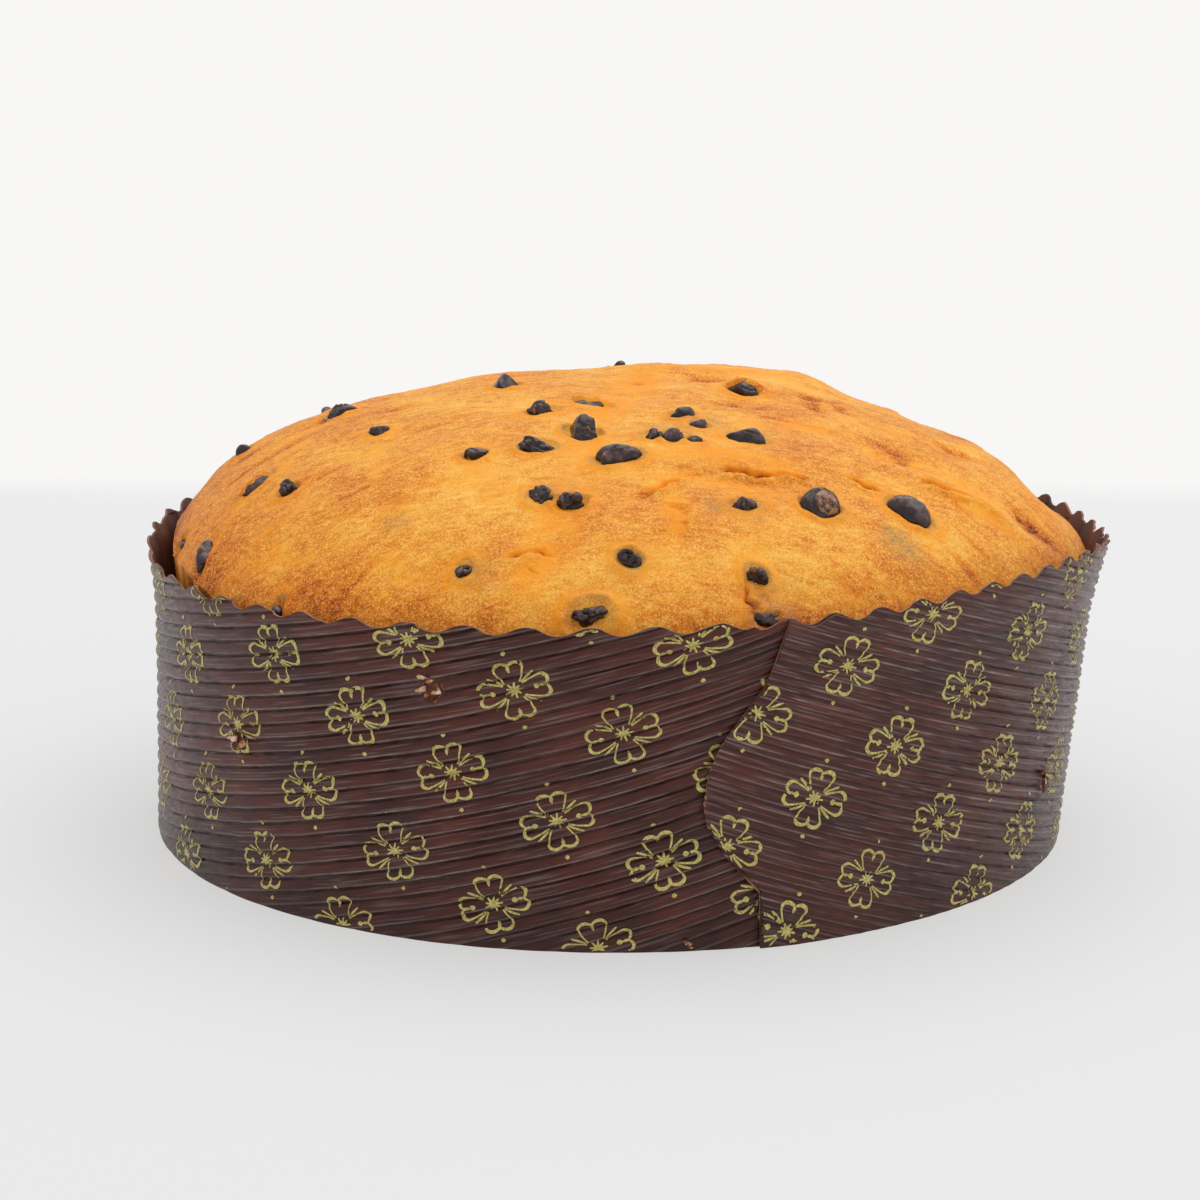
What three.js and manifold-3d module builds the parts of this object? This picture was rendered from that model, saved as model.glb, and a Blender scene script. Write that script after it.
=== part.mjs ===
// Panettone with chocolate drops, baked and sold in its fluted paper case.
// Millimetres, +Z up. The origin is the middle of the case's underside, and the lapped seam of the
// case is at the front, toward -Y. Azimuths are degrees from the front, growing toward +X.

import * as THREE from 'three';
import { mergeVertices } from 'three/addons/utils/BufferGeometryUtils.js';
import Module from 'manifold-3d';

// Driving sizes of the paper case
const BASE_RADIUS = 104.2;      // over the flute crests, where the case stands
const RIM_HEIGHT = 68.4;        // of the scallops, on average
const RIM_SHIFT = 4;            // the rim leans out toward +X by this much
const WALL_SPREAD = 3.4;        // how much wider the straight wall is at the rim than at the foot
const RIM_FLARE = 2.2;          // and how much further the free edge above the bread turns out
const FLARE_STARTS = 48;
const LINER_BENDS = [RIM_HEIGHT, 59, FLARE_STARTS];
const RIM_LINE = [              // [azimuth, height] of the middle of the scallops, as the rim has warped
  [-180, 66.3], [-100, 66.2], [-74, 64.6], [-55, 65.2], [-40, 66.4], [-20, 68.2], [0, 69.3], [20, 70.4],
  [40, 72.2], [58, 72.6], [70, 71.4], [82, 67.6], [95, 66.2], [180, 66.3],
];
const WALL_THICKNESS = 1.6;     // smooth liner plus fluted sheet
const FLUTE_DEPTH = 1.1;
const FLUTE_PITCH = 3.2;
const FLUTE_RISE = 60;          // climb of one flute from the back of the case to the seam
const FLOOR_THICKNESS = 1.0;
const GAP = 0.3;                // air between pieces that lie on each other
const SIDE_GAP = 0.5;           // air to the liner, whose facets cut inside its true round

// The strip's lapped end: the right end lies on top of the left one
const SEAM_AZIMUTH = 13;
const SEAM_EDGE = [             // [height, azimuth] down the die-cut end of the strip
  [0, 17.4], [6, 17.2], [12.6, 16.7], [15.3, 15.5], [20, 12.6], [27.6, 9.9], [32.3, 9.3], [40, 9.8],
  [44, 10.6], [48, 11.8], [56, 14.9], [62.5, 16], [70.4, 16.8], [80, 17.8],
];
const LAP_LIFT = 1.4;           // how far the top end stands over the crests beneath it
const LAP_SETTLES = 20;         // degrees past the edge where it is down on the liner again
const CRUSHED_TO = 12;          // degrees past the edge where its flutes are pressed flat
const FLUTES_FULL = 40;         // degrees past the edge where they are round again
const SEAM_BEND = 26;           // degrees each side over which facets bend to follow the edge
const CRUSHED_DEPTH = 0.25;

// Rim scallops, cut along the strip from each end
const SCALLOP_DEPTH = 0.95;     // half the height from hollow to tip
const LEFT_SCALLOP = { first: 9.5, pitch: 6.85 };
const RIGHT_SCALLOP = { first: 22.2, pitch: 5.3 };

// Holes that the cooling skewers left through the case: [azimuth, height]
const SKEWER_HOLES = [[-21.5, 54.7], [-49.6, 35.4], [63.8, 20.7], [-116, 21], [130, 35]];
const SKEWER_RADIUS = 2.2;

// Bread
const DOME_SHIFT = 3.1;         // centre of the dome, toward +X
const DOME_RADIUS = 107;
const DOME_FOOT = 52.4;
const DOME_RISE = 47.8;
const DOME_ROUND = 2;           // how flat the top is
const DOME_SHOULDER = 0.44;     // how square the shoulder is
const DOME_EDGE = 0.988;        // share of the dome radius where it turns down into the case
const SHOULDER_HEIGHT = 55;     // where the crust has just left the paper
const SHOULDER_INSET = 0.6;
const SHRUNK_AT = -86;          // azimuth of the middle of the edge that shrank away from the paper
const SHRUNK_SPREAD = 24;
const SHRUNK_DEPTH = 3.4;
const FILL_HEIGHT = 47;         // the crumb presses on the liner up to here
const FOOT_ROUNDING = 3;

// Swellings and hollows of the crust: x, y, half length, half width, turn in degrees, height
const SWELLINGS = [
  [-78, 12, 14, 18, 0, 1.7], [-24, 30, 12, 20, 0, 0.7], [9, 34, 9, 16, 0, 1.2],
  [28, 36, 12, 16, 0, 2.3], [45, 34, 9, 16, 0, 2.7], [60, 26, 9, 18, 0, -1],
  [73, 24, 7, 16, 0, -2.4], [97, 10, 7, 14, 0, -6.4],
  // The valley between the smooth left half and the torn right half
  [4, -4, 18, 7, 85, -1.3], [-3, -40, 20, 6, 82, -1.2], [-9, -72, 18, 6, 75, -1.3],
  // The lip over the long crack, the crack, and the bulge below it
  [27, -50, 22, 7, -3, 1.3], [26, -61, 22, 3, -3, -1.3], [53, -55, 9, 3, -18, -1],
  [45, -74, 26, 10, 8, 0.9],
  // The ridge to the right of the crack and the hollow behind it
  [76, -42, 18, 4, -4, 1.2], [70, -32, 16, 5, -6, -1.4], [60, -34, 5, 4, 0, -1.6],
  // Pits and lumps of the crown
  [77, -16, 6, 5, 0, -1.2], [91, -37, 4, 4, 0, -1.5], [47, -3, 7, 5, 0, -1.4],
  [21, 16, 7, 5, 0, -1.3], [30, -6, 7, 6, 0, -1.2], [35, 9, 9, 6, 0, 1.2], [14, 26, 8, 6, 0, 0.8],
  [26, -93, 8, 3, 60, -1], [-16, -90, 10, 4, 0, -0.8], [-46, -50, 30, 14, 20, 0.9],
  [-62, -8, 18, 14, 30, 0.8],
  // The left edge, which sank away from the paper
  [-105, -20, 8, 24, 0, -7],
  // The side that faces away
  [-30, 66, 22, 12, 12, -1.3], [24, 78, 26, 9, -8, 1.2], [-66, 48, 14, 18, 30, 1.1],
  [64, 64, 20, 8, -44, -1.4], [4, 92, 34, 5, 3, -1.1],
];

// Chocolate drops in the crust that the front shows: x, y, length, width, turn, stand above the crust
const FRONT_DROPS = [
  [-24, 4, 7.2, 6, 0, 3.5], [-61, 5, 8.5, 5, 12, 3.5], [-51, -23, 4.8, 4.5, 0, 2.5],
  [-15, -24, 8.4, 5, 5, 2.6], [-6, -39, 8.8, 9, 30, 4.6], [-4.5, -17, 10.5, 4.4, -14, 1.8],
  [-15.6, -48, 8.8, 6.5, -6, 3.1], [1.4, -54, 11.4, 6.6, 4, 2.9], [-29, -49, 5.6, 4.8, 20, 2.2],
  [-14.8, -69.5, 6.4, 6.8, 40, 2.3], [-8.4, -71.5, 8.2, 7, -10, 3.2], [-78, -29, 9.5, 4.6, 40, 1.7],
  [-70, -41, 5, 5, 0, 2.6], [-84, 6, 4, 4, 0, 1.9], [-88, -45, 4.4, 13, -28, 2],
  [-95, -26, 3.6, 5, 0, 1.3], [-69.6, -75.2, 3.6, 4, 0, 1.6], [-30, -88, 4.4, 3.6, 30, 1.5],
  [15.6, -28, 7, 4.4, 38, 2.6], [9.4, -44, 7.2, 5, -30, 2.1], [13.6, -45.5, 6.2, 6, 35, 2.6],
  [19.3, -35, 5.4, 4.2, -20, 2.1], [18, -46.5, 5, 3.6, 0, 1.4],
  [29.6, -40.5, 9.8, 6.2, -12, 2.9], [30.2, 2, 8.6, 6.4, -10, 3], [44, -68, 9, 8.4, 0, 4.6],
  [63.4, -59.1, 10.8, 7.6, -30, 4], [28, -72, 7.4, 4.4, 20, 2.2], [4, -90, 6, 4.8, -25, 2.3],
  [30, -90.5, 5.8, 4.8, -35, 2.2], [32.5, -97.2, 7.5, 4.5, 0, 1.3], [-4, -100.6, 9.5, 6, 0, 3],
  [93, 10, 4.5, 4.5, 0, 1.9],
];
// Drops on the side that faces away: as many to the area as the front has, drawn by chance between
// these bounds, and further back than the crown
const BACK_DROPS = {
  count: 14, azimuth: [100, 260], reach: [0.42, 0.95], length: [4, 9], slimness: [0.65, 1], stand: [1, 2.4],
  behind: 44,
};
const DROP_SPACING = 11;
const DROP_SINK = 0.9;          // how deep a drop sits below its widest level

// Fineness of the facets
const WALL_COLUMNS = 48;
const STEPS_PER_SCALLOP = 4;
const BREAD_COLUMNS = 64;
const DOME_RINGS = 17;
const DROP_SIDES = 6;
const DROP_LEVELS = 4;

const DEG = Math.PI / 180;
const { sin, cos, hypot, min, max } = Math;

const wasm = await Module();
wasm.setup();

// Turns a closed three.js geometry into a solid that can be joined and cut
function solid(geometry) {
  const bare = geometry.clone();
  bare.deleteAttribute('normal');
  bare.deleteAttribute('uv');
  const merged = mergeVertices(bare, 1e-5);
  return new wasm.Manifold(new wasm.Mesh({
    numProp: 3,
    vertProperties: new Float32Array(merged.attributes.position.array),
    triVerts: new Uint32Array(merged.index.array),
  }));
}

function geometryOf(manifold) {
  const mesh = manifold.getMesh();
  return geometryFrom(Array.from(mesh.vertProperties), Array.from(mesh.triVerts));
}

function geometryFrom(positions, triangles) {
  const geometry = new THREE.BufferGeometry();
  geometry.setAttribute('position', new THREE.Float32BufferAttribute(positions, 3));
  geometry.setIndex(triangles);
  geometry.computeVertexNormals();
  return geometry;
}

// Closed skin over rings of equal length, each joined to the next; with ends they are capped
// by a fan from the first and the last point
function skin(rings, ends) {
  const count = rings[0].length;
  const positions = rings.flat(2);
  const triangles = [];
  const wrap = ends ? rings.length - 1 : rings.length;
  for (let r = 0; r < wrap; r += 1) {
    const low = r * count;
    const high = ((r + 1) % rings.length) * count;
    for (let c = 0; c < count; c += 1) {
      const next = (c + 1) % count;
      triangles.push(low + c, low + next, high + next, low + c, high + next, high + c);
    }
  }
  if (ends) {
    const base = rings.length * count;
    const top = (rings.length - 1) * count;
    positions.push(...ends[0], ...ends[1]);
    for (let c = 0; c < count; c += 1) {
      const next = (c + 1) % count;
      triangles.push(base, next, c, base + 1, top + c, top + next);
    }
  }
  return geometryFrom(positions, triangles);
}

// Smooth step from 0 to 1 between two values
function ramp(from, to, value) {
  return THREE.MathUtils.smoothstep(value, from, to);
}

// The case's leaning, flaring shape
function wallShift(z) {
  return RIM_SHIFT * z / RIM_HEIGHT;
}

function wallRadius(z) {
  const flare = max(0, (z - FLARE_STARTS) / (RIM_HEIGHT - FLARE_STARTS));
  return BASE_RADIUS + WALL_SPREAD * z / RIM_HEIGHT + RIM_FLARE * min(flare, 1) ** 2;
}

function wallPoint(azimuth, z, inset) {
  const radius = wallRadius(z) - inset;
  return [wallShift(z) + radius * sin(azimuth * DEG), -radius * cos(azimuth * DEG), z];
}

// Value at a place along a line of [place, value] points
function along(line, place) {
  let i = 0;
  while (i < line.length - 2 && place > line[i + 1][0]) i += 1;
  const [p0, v0] = line[i];
  const [p1, v1] = line[i + 1];
  return v0 + (v1 - v0) * min(max((place - p0) / (p1 - p0), 0), 1);
}

function scallopPhase(azimuth) {
  const side = azimuth < SEAM_AZIMUTH ? LEFT_SCALLOP : RIGHT_SCALLOP;
  return (azimuth - side.first) / side.pitch;
}

function rimHeight(azimuth) {
  const middle = along(RIM_LINE, azimuth > 180 ? azimuth - 360 : azimuth);
  return middle + SCALLOP_DEPTH * cos(2 * Math.PI * scallopPhase(azimuth));
}

// The fluted strip before it is trimmed: rows run along crests and hollows by turns. The strip is
// straight, so bent into this cone each flute climbs from the back to the seam on both sides.
function flutedStrip() {
  const halfPitch = FLUTE_PITCH / 2;
  const lowest = -FLUTE_RISE - 2 * halfPitch;
  const highest = max(...RIM_LINE.map((point) => point[1])) + SCALLOP_DEPTH + FLUTE_PITCH;
  const rowCount = Math.ceil((highest - lowest) / halfPitch);
  const outer = [];
  for (let row = 0; row <= rowCount; row += 1) {
    const ring = [];
    for (let column = 0; column <= WALL_COLUMNS; column += 1) {
      const share = column / WALL_COLUMNS;
      const fromBack = 2 * share - 1;
      const z = lowest + row * halfPitch + FLUTE_RISE * fromBack * fromBack;
      const pastEdge = share * 360;
      const nearSeam = max(0, 1 - min(share, 1 - share) * 360 / SEAM_BEND);
      const edge = along(SEAM_EDGE, z) - SEAM_AZIMUTH;
      const crushed = 1 - ramp(CRUSHED_TO, FLUTES_FULL, pastEdge);
      const depth = FLUTE_DEPTH + (CRUSHED_DEPTH - FLUTE_DEPTH) * crushed;
      const lift = LAP_LIFT * (1 - ramp(0, LAP_SETTLES, pastEdge));
      const inset = (row % 2 ? 0 : depth) - lift;
      ring.push(wallPoint(SEAM_AZIMUTH + pastEdge + edge * nearSeam, z, inset));
    }
    outer.push(ring);
  }
  // The liner has no flutes: its rings only follow the flare. Its two ends meet in one line.
  const linerRing = (heightOf) => outer[0].map((_, column) => (
    wallPoint(SEAM_AZIMUTH + 360 * (column % WALL_COLUMNS) / WALL_COLUMNS, heightOf(column), WALL_THICKNESS)
  ));
  const inner = [
    linerRing((column) => outer[rowCount][column][2]),
    ...LINER_BENDS.map((z) => linerRing(() => z)),
    linerRing((column) => outer[0][column][2]),
  ];
  return solid(skin([...outer, ...inner], null));
}

// A ring whose underside is the scalloped line that the rim is cut along
function rimCutter() {
  const reach = 20;
  const top = RIM_HEIGHT + 2 * FLUTE_RISE;
  const turns = [];
  const leftTurn = 360 + SEAM_AZIMUTH;
  for (let a = SEAM_AZIMUTH; a < 180 + SEAM_AZIMUTH; a += RIGHT_SCALLOP.pitch / STEPS_PER_SCALLOP) {
    turns.push(a);
  }
  for (let a = 180 + SEAM_AZIMUTH; a < leftTurn; a += LEFT_SCALLOP.pitch / STEPS_PER_SCALLOP) {
    turns.push(a);
  }
  const ring = (inset, height) => turns.map((a) => {
    const turn = a >= 180 + SEAM_AZIMUTH ? a - 360 : a;
    const [x, y] = wallPoint(turn, RIM_HEIGHT, inset);
    return [x, y, height === null ? rimHeight(turn) : height];
  });
  return solid(skin([ring(-reach, null), ring(-reach, top), ring(reach, top), ring(reach, null)], null));
}

function skewerCutter([azimuth, z]) {
  const cylinder = new THREE.CylinderGeometry(SKEWER_RADIUS, SKEWER_RADIUS, 8 * WALL_THICKNESS, 8);
  cylinder.rotateZ(azimuth * DEG);
  cylinder.translate(...wallPoint(azimuth, z, WALL_THICKNESS / 2));
  return solid(cylinder);
}

function paperWall() {
  const room = new THREE.BoxGeometry(4 * BASE_RADIUS, 4 * BASE_RADIUS, 4 * FLUTE_RISE);
  room.translate(0, 0, -2 * FLUTE_RISE);
  let wall = flutedStrip().subtract(solid(room)).subtract(rimCutter());
  for (const hole of SKEWER_HOLES) wall = wall.subtract(skewerCutter(hole));
  return geometryOf(wall);
}

// A flat disc that closes the case, glued inside the foot of the wall
function paperFloor() {
  const radius = BASE_RADIUS - WALL_THICKNESS - SIDE_GAP;
  const disc = new THREE.CylinderGeometry(radius, radius, FLOOR_THICKNESS, WALL_COLUMNS);
  disc.rotateX(90 * DEG);
  disc.translate(0, 0, FLOOR_THICKNESS / 2);
  return geometryOf(solid(disc));
}

// Height of the baked crust over the point x, y
function crustHeight(x, y) {
  const share = min(hypot((x - DOME_SHIFT) / DOME_RADIUS, y / DOME_RADIUS), DOME_EDGE);
  let z = DOME_FOOT + DOME_RISE * (1 - share ** DOME_ROUND) ** DOME_SHOULDER;
  for (const [cx, cy, length, width, turn, height] of SWELLINGS) {
    const along = ((x - cx) * cos(turn * DEG) + (y - cy) * sin(turn * DEG)) / length;
    const across = (-(x - cx) * sin(turn * DEG) + (y - cy) * cos(turn * DEG)) / width;
    z += height * Math.exp(-along * along - across * across);
  }
  return z;
}

function breadBody() {
  // A round of points; pull is how much of the shrunken edge it takes part in
  const ring = (radius, shift, height, pull) => {
    const points = [];
    for (let c = 0; c < BREAD_COLUMNS; c += 1) {
      const a = 2 * Math.PI * c / BREAD_COLUMNS;
      const away = ((a / DEG - SHRUNK_AT + 180) % 360 - 180) / SHRUNK_SPREAD;
      const reach = radius - pull * SHRUNK_DEPTH * Math.exp(-away * away);
      const x = shift + reach * sin(a);
      const y = -reach * cos(a);
      points.push([x, y, height === null ? crustHeight(x, y) : height]);
    }
    return points;
  };
  const inCase = (z, inset, pull = 0) => {
    return ring(wallRadius(z) - WALL_THICKNESS - SIDE_GAP - inset, wallShift(z), z, pull);
  };
  const foot = FLOOR_THICKNESS + GAP;
  const rings = [
    inCase(foot, FOOT_ROUNDING),
    inCase(foot + FOOT_ROUNDING, 0),
    inCase(FILL_HEIGHT, 0),
    inCase(SHOULDER_HEIGHT, SHOULDER_INSET, 1),
  ];
  // Rings of the dome lie closer where it turns down
  for (let k = DOME_RINGS; k > 0; k -= 1) {
    const share = sin(90 * DEG * k / DOME_RINGS);
    rings.push(ring(DOME_EDGE * share * DOME_RADIUS, DOME_SHIFT, null, share ** 6));
  }
  return solid(skin(rings, [[0, 0, foot], [DOME_SHIFT, 0, crustHeight(DOME_SHIFT, 0)]]));
}

// One chocolate drop, a squashed ball set into the slope of the crust
function chocolateDrop([x, y, length, width, turn, stand]) {
  const step = 2;
  const slopeX = (crustHeight(x + step, y) - crustHeight(x - step, y)) / (2 * step);
  const slopeY = (crustHeight(x, y + step) - crustHeight(x, y - step)) / (2 * step);
  const normal = new THREE.Vector3(-slopeX, -slopeY, 1).normalize();
  const ball = new THREE.SphereGeometry(1, DROP_SIDES, DROP_LEVELS);
  ball.rotateX(90 * DEG);
  ball.scale(length / 2, width / 2, stand + DROP_SINK);
  ball.rotateZ(turn * DEG);
  ball.applyQuaternion(new THREE.Quaternion().setFromUnitVectors(new THREE.Vector3(0, 0, 1), normal));
  ball.translate(
    x - normal.x * DROP_SINK,
    y - normal.y * DROP_SINK,
    crustHeight(x, y) - normal.z * DROP_SINK,
  );
  return solid(ball);
}

// A repeatable stream of numbers from 0 to 1
function drawer(seed) {
  let state = seed;
  return () => {
    state = (state * 1664525 + 1013904223) % 4294967296;
    return state / 4294967296;
  };
}

// Drops on the half of the crust away from the seam, kept clear of each other
function backDrops() {
  const draw = drawer(41);
  const between = ([low, high]) => low + (high - low) * draw();
  const drops = [];
  while (drops.length < BACK_DROPS.count) {
    const azimuth = between(BACK_DROPS.azimuth) * DEG;
    const radius = between(BACK_DROPS.reach) * DOME_RADIUS;
    const x = DOME_SHIFT + radius * sin(azimuth);
    const y = -radius * cos(azimuth);
    const length = between(BACK_DROPS.length);
    const width = length * between(BACK_DROPS.slimness);
    const turn = 180 * draw();
    const stand = between(BACK_DROPS.stand);
    const clear = [...FRONT_DROPS, ...drops].every(([ox, oy]) => hypot(ox - x, oy - y) > DROP_SPACING);
    if (clear && y > BACK_DROPS.behind) drops.push([x, y, length, width, turn, stand]);
  }
  return drops;
}

function bread() {
  let loaf = breadBody();
  for (const drop of [...FRONT_DROPS, ...backDrops()]) loaf = loaf.add(chocolateDrop(drop));
  return geometryOf(loaf);
}

// Named pieces, each with the look of its own material
function piece(name, geometry, color, roughness) {
  const mesh = new THREE.Mesh(geometry, new THREE.MeshStandardMaterial({ color, roughness, metalness: 0 }));
  mesh.name = name;
  return mesh;
}

const panettone = new THREE.Group();
panettone.add(piece('bread', bread(), '#d48a3c', 0.7));
panettone.add(piece('paper_wall', paperWall(), '#3f2624', 0.5));
panettone.add(piece('paper_floor', paperFloor(), '#4a2c22', 0.7));

export default panettone;
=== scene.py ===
# Panettone with chocolate drops in its fluted paper case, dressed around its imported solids.
# Sizes are millimetres until a mesh is made; azimuths are degrees from the front, toward +X.

import itertools
import math

import bpy
import numpy as np
from mathutils import Matrix, Vector


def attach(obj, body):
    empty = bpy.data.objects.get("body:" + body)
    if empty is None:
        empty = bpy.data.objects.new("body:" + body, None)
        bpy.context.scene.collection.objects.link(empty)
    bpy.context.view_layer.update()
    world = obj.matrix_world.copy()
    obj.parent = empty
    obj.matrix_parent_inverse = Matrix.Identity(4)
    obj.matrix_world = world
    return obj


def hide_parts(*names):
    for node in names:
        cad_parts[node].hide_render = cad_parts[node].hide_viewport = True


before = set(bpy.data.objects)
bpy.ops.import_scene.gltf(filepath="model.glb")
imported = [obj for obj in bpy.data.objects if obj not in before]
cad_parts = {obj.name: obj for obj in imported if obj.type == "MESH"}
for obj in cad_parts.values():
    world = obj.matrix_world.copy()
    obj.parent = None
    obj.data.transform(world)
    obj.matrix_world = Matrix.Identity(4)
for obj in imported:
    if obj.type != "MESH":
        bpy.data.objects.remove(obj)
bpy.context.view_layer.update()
MM = 0.001


# Camera
# A short telephoto on a stand, a little above the table and looking down on the loaf.
EYE = (-0.6, -850, 249.5)
PAN, TILT, ROLL = -0.11, 13.19, 0.254
LENS, SENSOR = 114.15, 36

camera_data = bpy.data.cameras.new("camera")
camera_data.lens = LENS
camera_data.sensor_width = SENSOR
camera_data.clip_start, camera_data.clip_end = 0.05, 50
camera = bpy.data.objects.new("camera", camera_data)
bpy.context.collection.objects.link(camera)
turn = (
    Matrix.Rotation(math.radians(-PAN), 4, "Z")
    @ Matrix.Rotation(math.radians(90 - TILT), 4, "X")
    @ Matrix.Rotation(math.radians(ROLL), 4, "Z")
)
camera.matrix_world = Matrix.Translation(Vector(EYE) * MM) @ turn
bpy.context.scene.camera = camera


# Studio: table top and light
# A wide light table, a white board lit partly from below, that runs on as an even bright ground
# past its far edge, under one broad soft window of light and an even white room.
TABLE_HALF = 372          # where the table top gives way to the bright ground
TABLE_BLUR = 26           # half the width of the change
TABLE_ROUNDING = 0.05     # of the ground's corners, in metres
GROUND_HALF = 6000
TABLE_COLOUR = "#dbdcde"
TABLE_GLOW = 0.52         # how far its even brightness comes from below
GROUND_COLOUR = "#f8f7f6"
ROOM_LIGHT = 0.72
WINDOW_AT, WINDOW_SIZE, WINDOW_WATTS = (330, 340, 1300), (1700, 1300), 9


def srgb(colour):
    """The linear colour of an sRGB hex value."""
    parts = [int(colour[i:i + 2], 16) / 255 for i in (1, 3, 5)]
    return (*[c / 12.92 if c <= 0.04045 else ((c + 0.055) / 1.055) ** 2.4 for c in parts], 1)


def add(tree, kind, inputs=None, stops=(), **settings):
    """Adds a node with its settings and gives its outputs. A value in inputs is a number, a colour
    or a socket to link; stops are the places and colours of a colour ramp, its first two the ends."""
    made = tree.nodes.new("ShaderNode" + kind)
    for name, value in settings.items():
        setattr(made, name, value)
    for socket, value in (inputs or {}).items():
        if isinstance(value, bpy.types.NodeSocket):
            tree.links.new(value, made.inputs[socket])
        else:
            made.inputs[socket].default_value = value
    for i, (place, colour) in enumerate(stops):
        stop = made.color_ramp.elements[i] if i < 2 else made.color_ramp.elements.new(place)
        stop.position, stop.color = place, srgb(colour)
    return made.outputs


def new_material(name):
    """An empty node material and its tree."""
    material = bpy.data.materials.new(name)
    material.use_nodes = True
    material.node_tree.nodes.clear()
    return material, material.node_tree


def painted_board():
    """Matt white board: even and chalky, with no gloss, lit from below; far off it is only bright."""
    material, tree = new_material("painted_board")
    place = add(tree, "TexCoord")["Object"]
    corner = add(tree, "VectorMath", {0: place}, operation="ABSOLUTE")[0]
    parts = add(tree, "SeparateXYZ", {0: corner})
    reach = add(tree, "Math", {
        0: parts[0], 1: parts[1], 2: TABLE_ROUNDING,
    }, operation="SMOOTH_MAX")[0]
    far = add(tree, "MapRange", {
        "Value": reach,
        "From Min": (TABLE_HALF - TABLE_BLUR) * MM,
        "From Max": (TABLE_HALF + TABLE_BLUR) * MM,
        "To Min": TABLE_GLOW,
    }, interpolation_type="SMOOTHSTEP")[0]
    paint = add(tree, "BsdfPrincipled", {
        "Base Color": srgb(TABLE_COLOUR), "Roughness": 0.9, "Specular IOR Level": 0.2,
    })[0]
    glow = add(tree, "Emission", {"Color": srgb(GROUND_COLOUR)})[0]
    both = add(tree, "MixShader", {0: far, 1: paint, 2: glow})[0]
    add(tree, "OutputMaterial", {0: both})
    return material


ground_mesh = bpy.data.meshes.new("table_top")
half = GROUND_HALF * MM
corners = [(x * half, y * half, 0) for x, y in ((-1, -1), (1, -1), (1, 1), (-1, 1))]
ground_mesh.from_pydata(corners, [], [(0, 1, 2, 3)])
ground_mesh.materials.append(painted_board())
table_top = bpy.data.objects.new("table_top", ground_mesh)
bpy.context.collection.objects.link(table_top)

window_data = bpy.data.lights.new("window", "AREA")
window_data.shape = "RECTANGLE"
window_data.size, window_data.size_y = WINDOW_SIZE[0] * MM, WINDOW_SIZE[1] * MM
window_data.energy = WINDOW_WATTS
window = bpy.data.objects.new("window", window_data)
window.location = Vector(WINDOW_AT) * MM
window.rotation_euler = (-window.location).to_track_quat("-Z", "Y").to_euler()
bpy.context.collection.objects.link(window)

room = bpy.data.worlds.new("room")
room.use_nodes = True
room.node_tree.nodes["Background"].inputs[0].default_value = srgb("#ffffff")
room.node_tree.nodes["Background"].inputs[1].default_value = ROOM_LIGHT
bpy.context.scene.world = room
bpy.context.scene.view_settings.view_transform = "Standard"


# Paper wall
# A strip of brown greaseproof paper, fluted and glued to a smooth liner. It is straight, so bent
# into the leaning cone its flutes climb to the seam, where the right end lies glued over the left.
BASE_RADIUS = 104.2
RIM_HEIGHT = 68.4           # of the plain wall, without its scallops
TALLEST = 80                # above every scallop
RIM_SHIFT = 4               # how far the case leans over, toward +X
WALL_SPREAD = 3.4           # how much wider its plain wall is at the rim than at the foot
RIM_FLARE = 2.2             # and how much more where it bends out, above the height that follows
FLARE_STARTS = 48
RIM_LINE = (                # azimuth and height round the scallops' middle line
    (-180, 66.3), (-100, 66.2), (-74, 64.6), (-55, 65.2), (-40, 66.4), (-20, 68.2), (0, 69.3), (20, 70.4),
    (40, 72.2), (58, 72.6), (70, 71.4), (82, 67.6), (95, 66.2), (180, 66.3),
)
SCALLOP_DEPTH = 0.95
LEFT_SCALLOP, RIGHT_SCALLOP = (9.5, 6.85), (22.2, 5.3)     # azimuth of one tip, and the pitch
WALL_THICKNESS = 1.6
SHEET_THICKNESS = 0.5       # liner and fluted sheet pressed flat
FLUTE_DEPTH = 1.15
FLUTE_PITCH = 3.1
FLUTE_SHARPNESS = 0.42      # power of a sine: the lower, the broader the crest and narrower the groove
FLUTE_SWAY = 0.28           # how far whole stretches of the wall bulge and sink
LEFT_RISE, RIGHT_RISE = 54, 62      # climb of one flute from the back to the seam
SEAM_AZIMUTH = 13
BACK_AZIMUTH = SEAM_AZIMUTH + 180
SEAM_EDGE = (               # height and azimuth down the die-cut end of the strip
    (0, 17.4), (6, 17.2), (12.6, 16.7), (15.3, 15.5), (20, 12.6), (27.6, 9.9), (32.3, 9.3), (40, 9.8),
    (44, 10.6), (48, 11.8), (56, 14.9), (62.5, 16), (70.4, 16.8), (80, 17.8),
)
SEAM_BEND = 26              # degrees beside the seam in which the columns straighten
OVERLAP = 8                 # degrees of the left end that lie hidden under the right one
LAP_LIFT, LAP_SETTLES = 1.4, 20
CRUSHED_DEPTH, CRUSHED_TO, FLUTES_FULL = 0.42, 12, 40       # flutes pressed flat beside the seam
DOUBLED_TO = 90             # past the seam each flute of the right end has a crease along its crest
TONE_LENGTH = 30            # of flute that takes one shade
EDGE_HIGHLIGHT_AT, EDGE_HIGHLIGHT_WIDTH = 0.14, 0.06            # the lower edge of a crest, where a pale line of painted highlight lies
SKEWER_HOLES = ((-21.5, 54.7), (-49.6, 35.4), (63.8, 20.7), (-116, 21), (130, 35))
SKEWER_RADIUS = 2.0
HOLE_DEPTH, HOLE_PUFF = 1.3, 0.5            # pushed in, and the ring that puffed up round it
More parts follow.
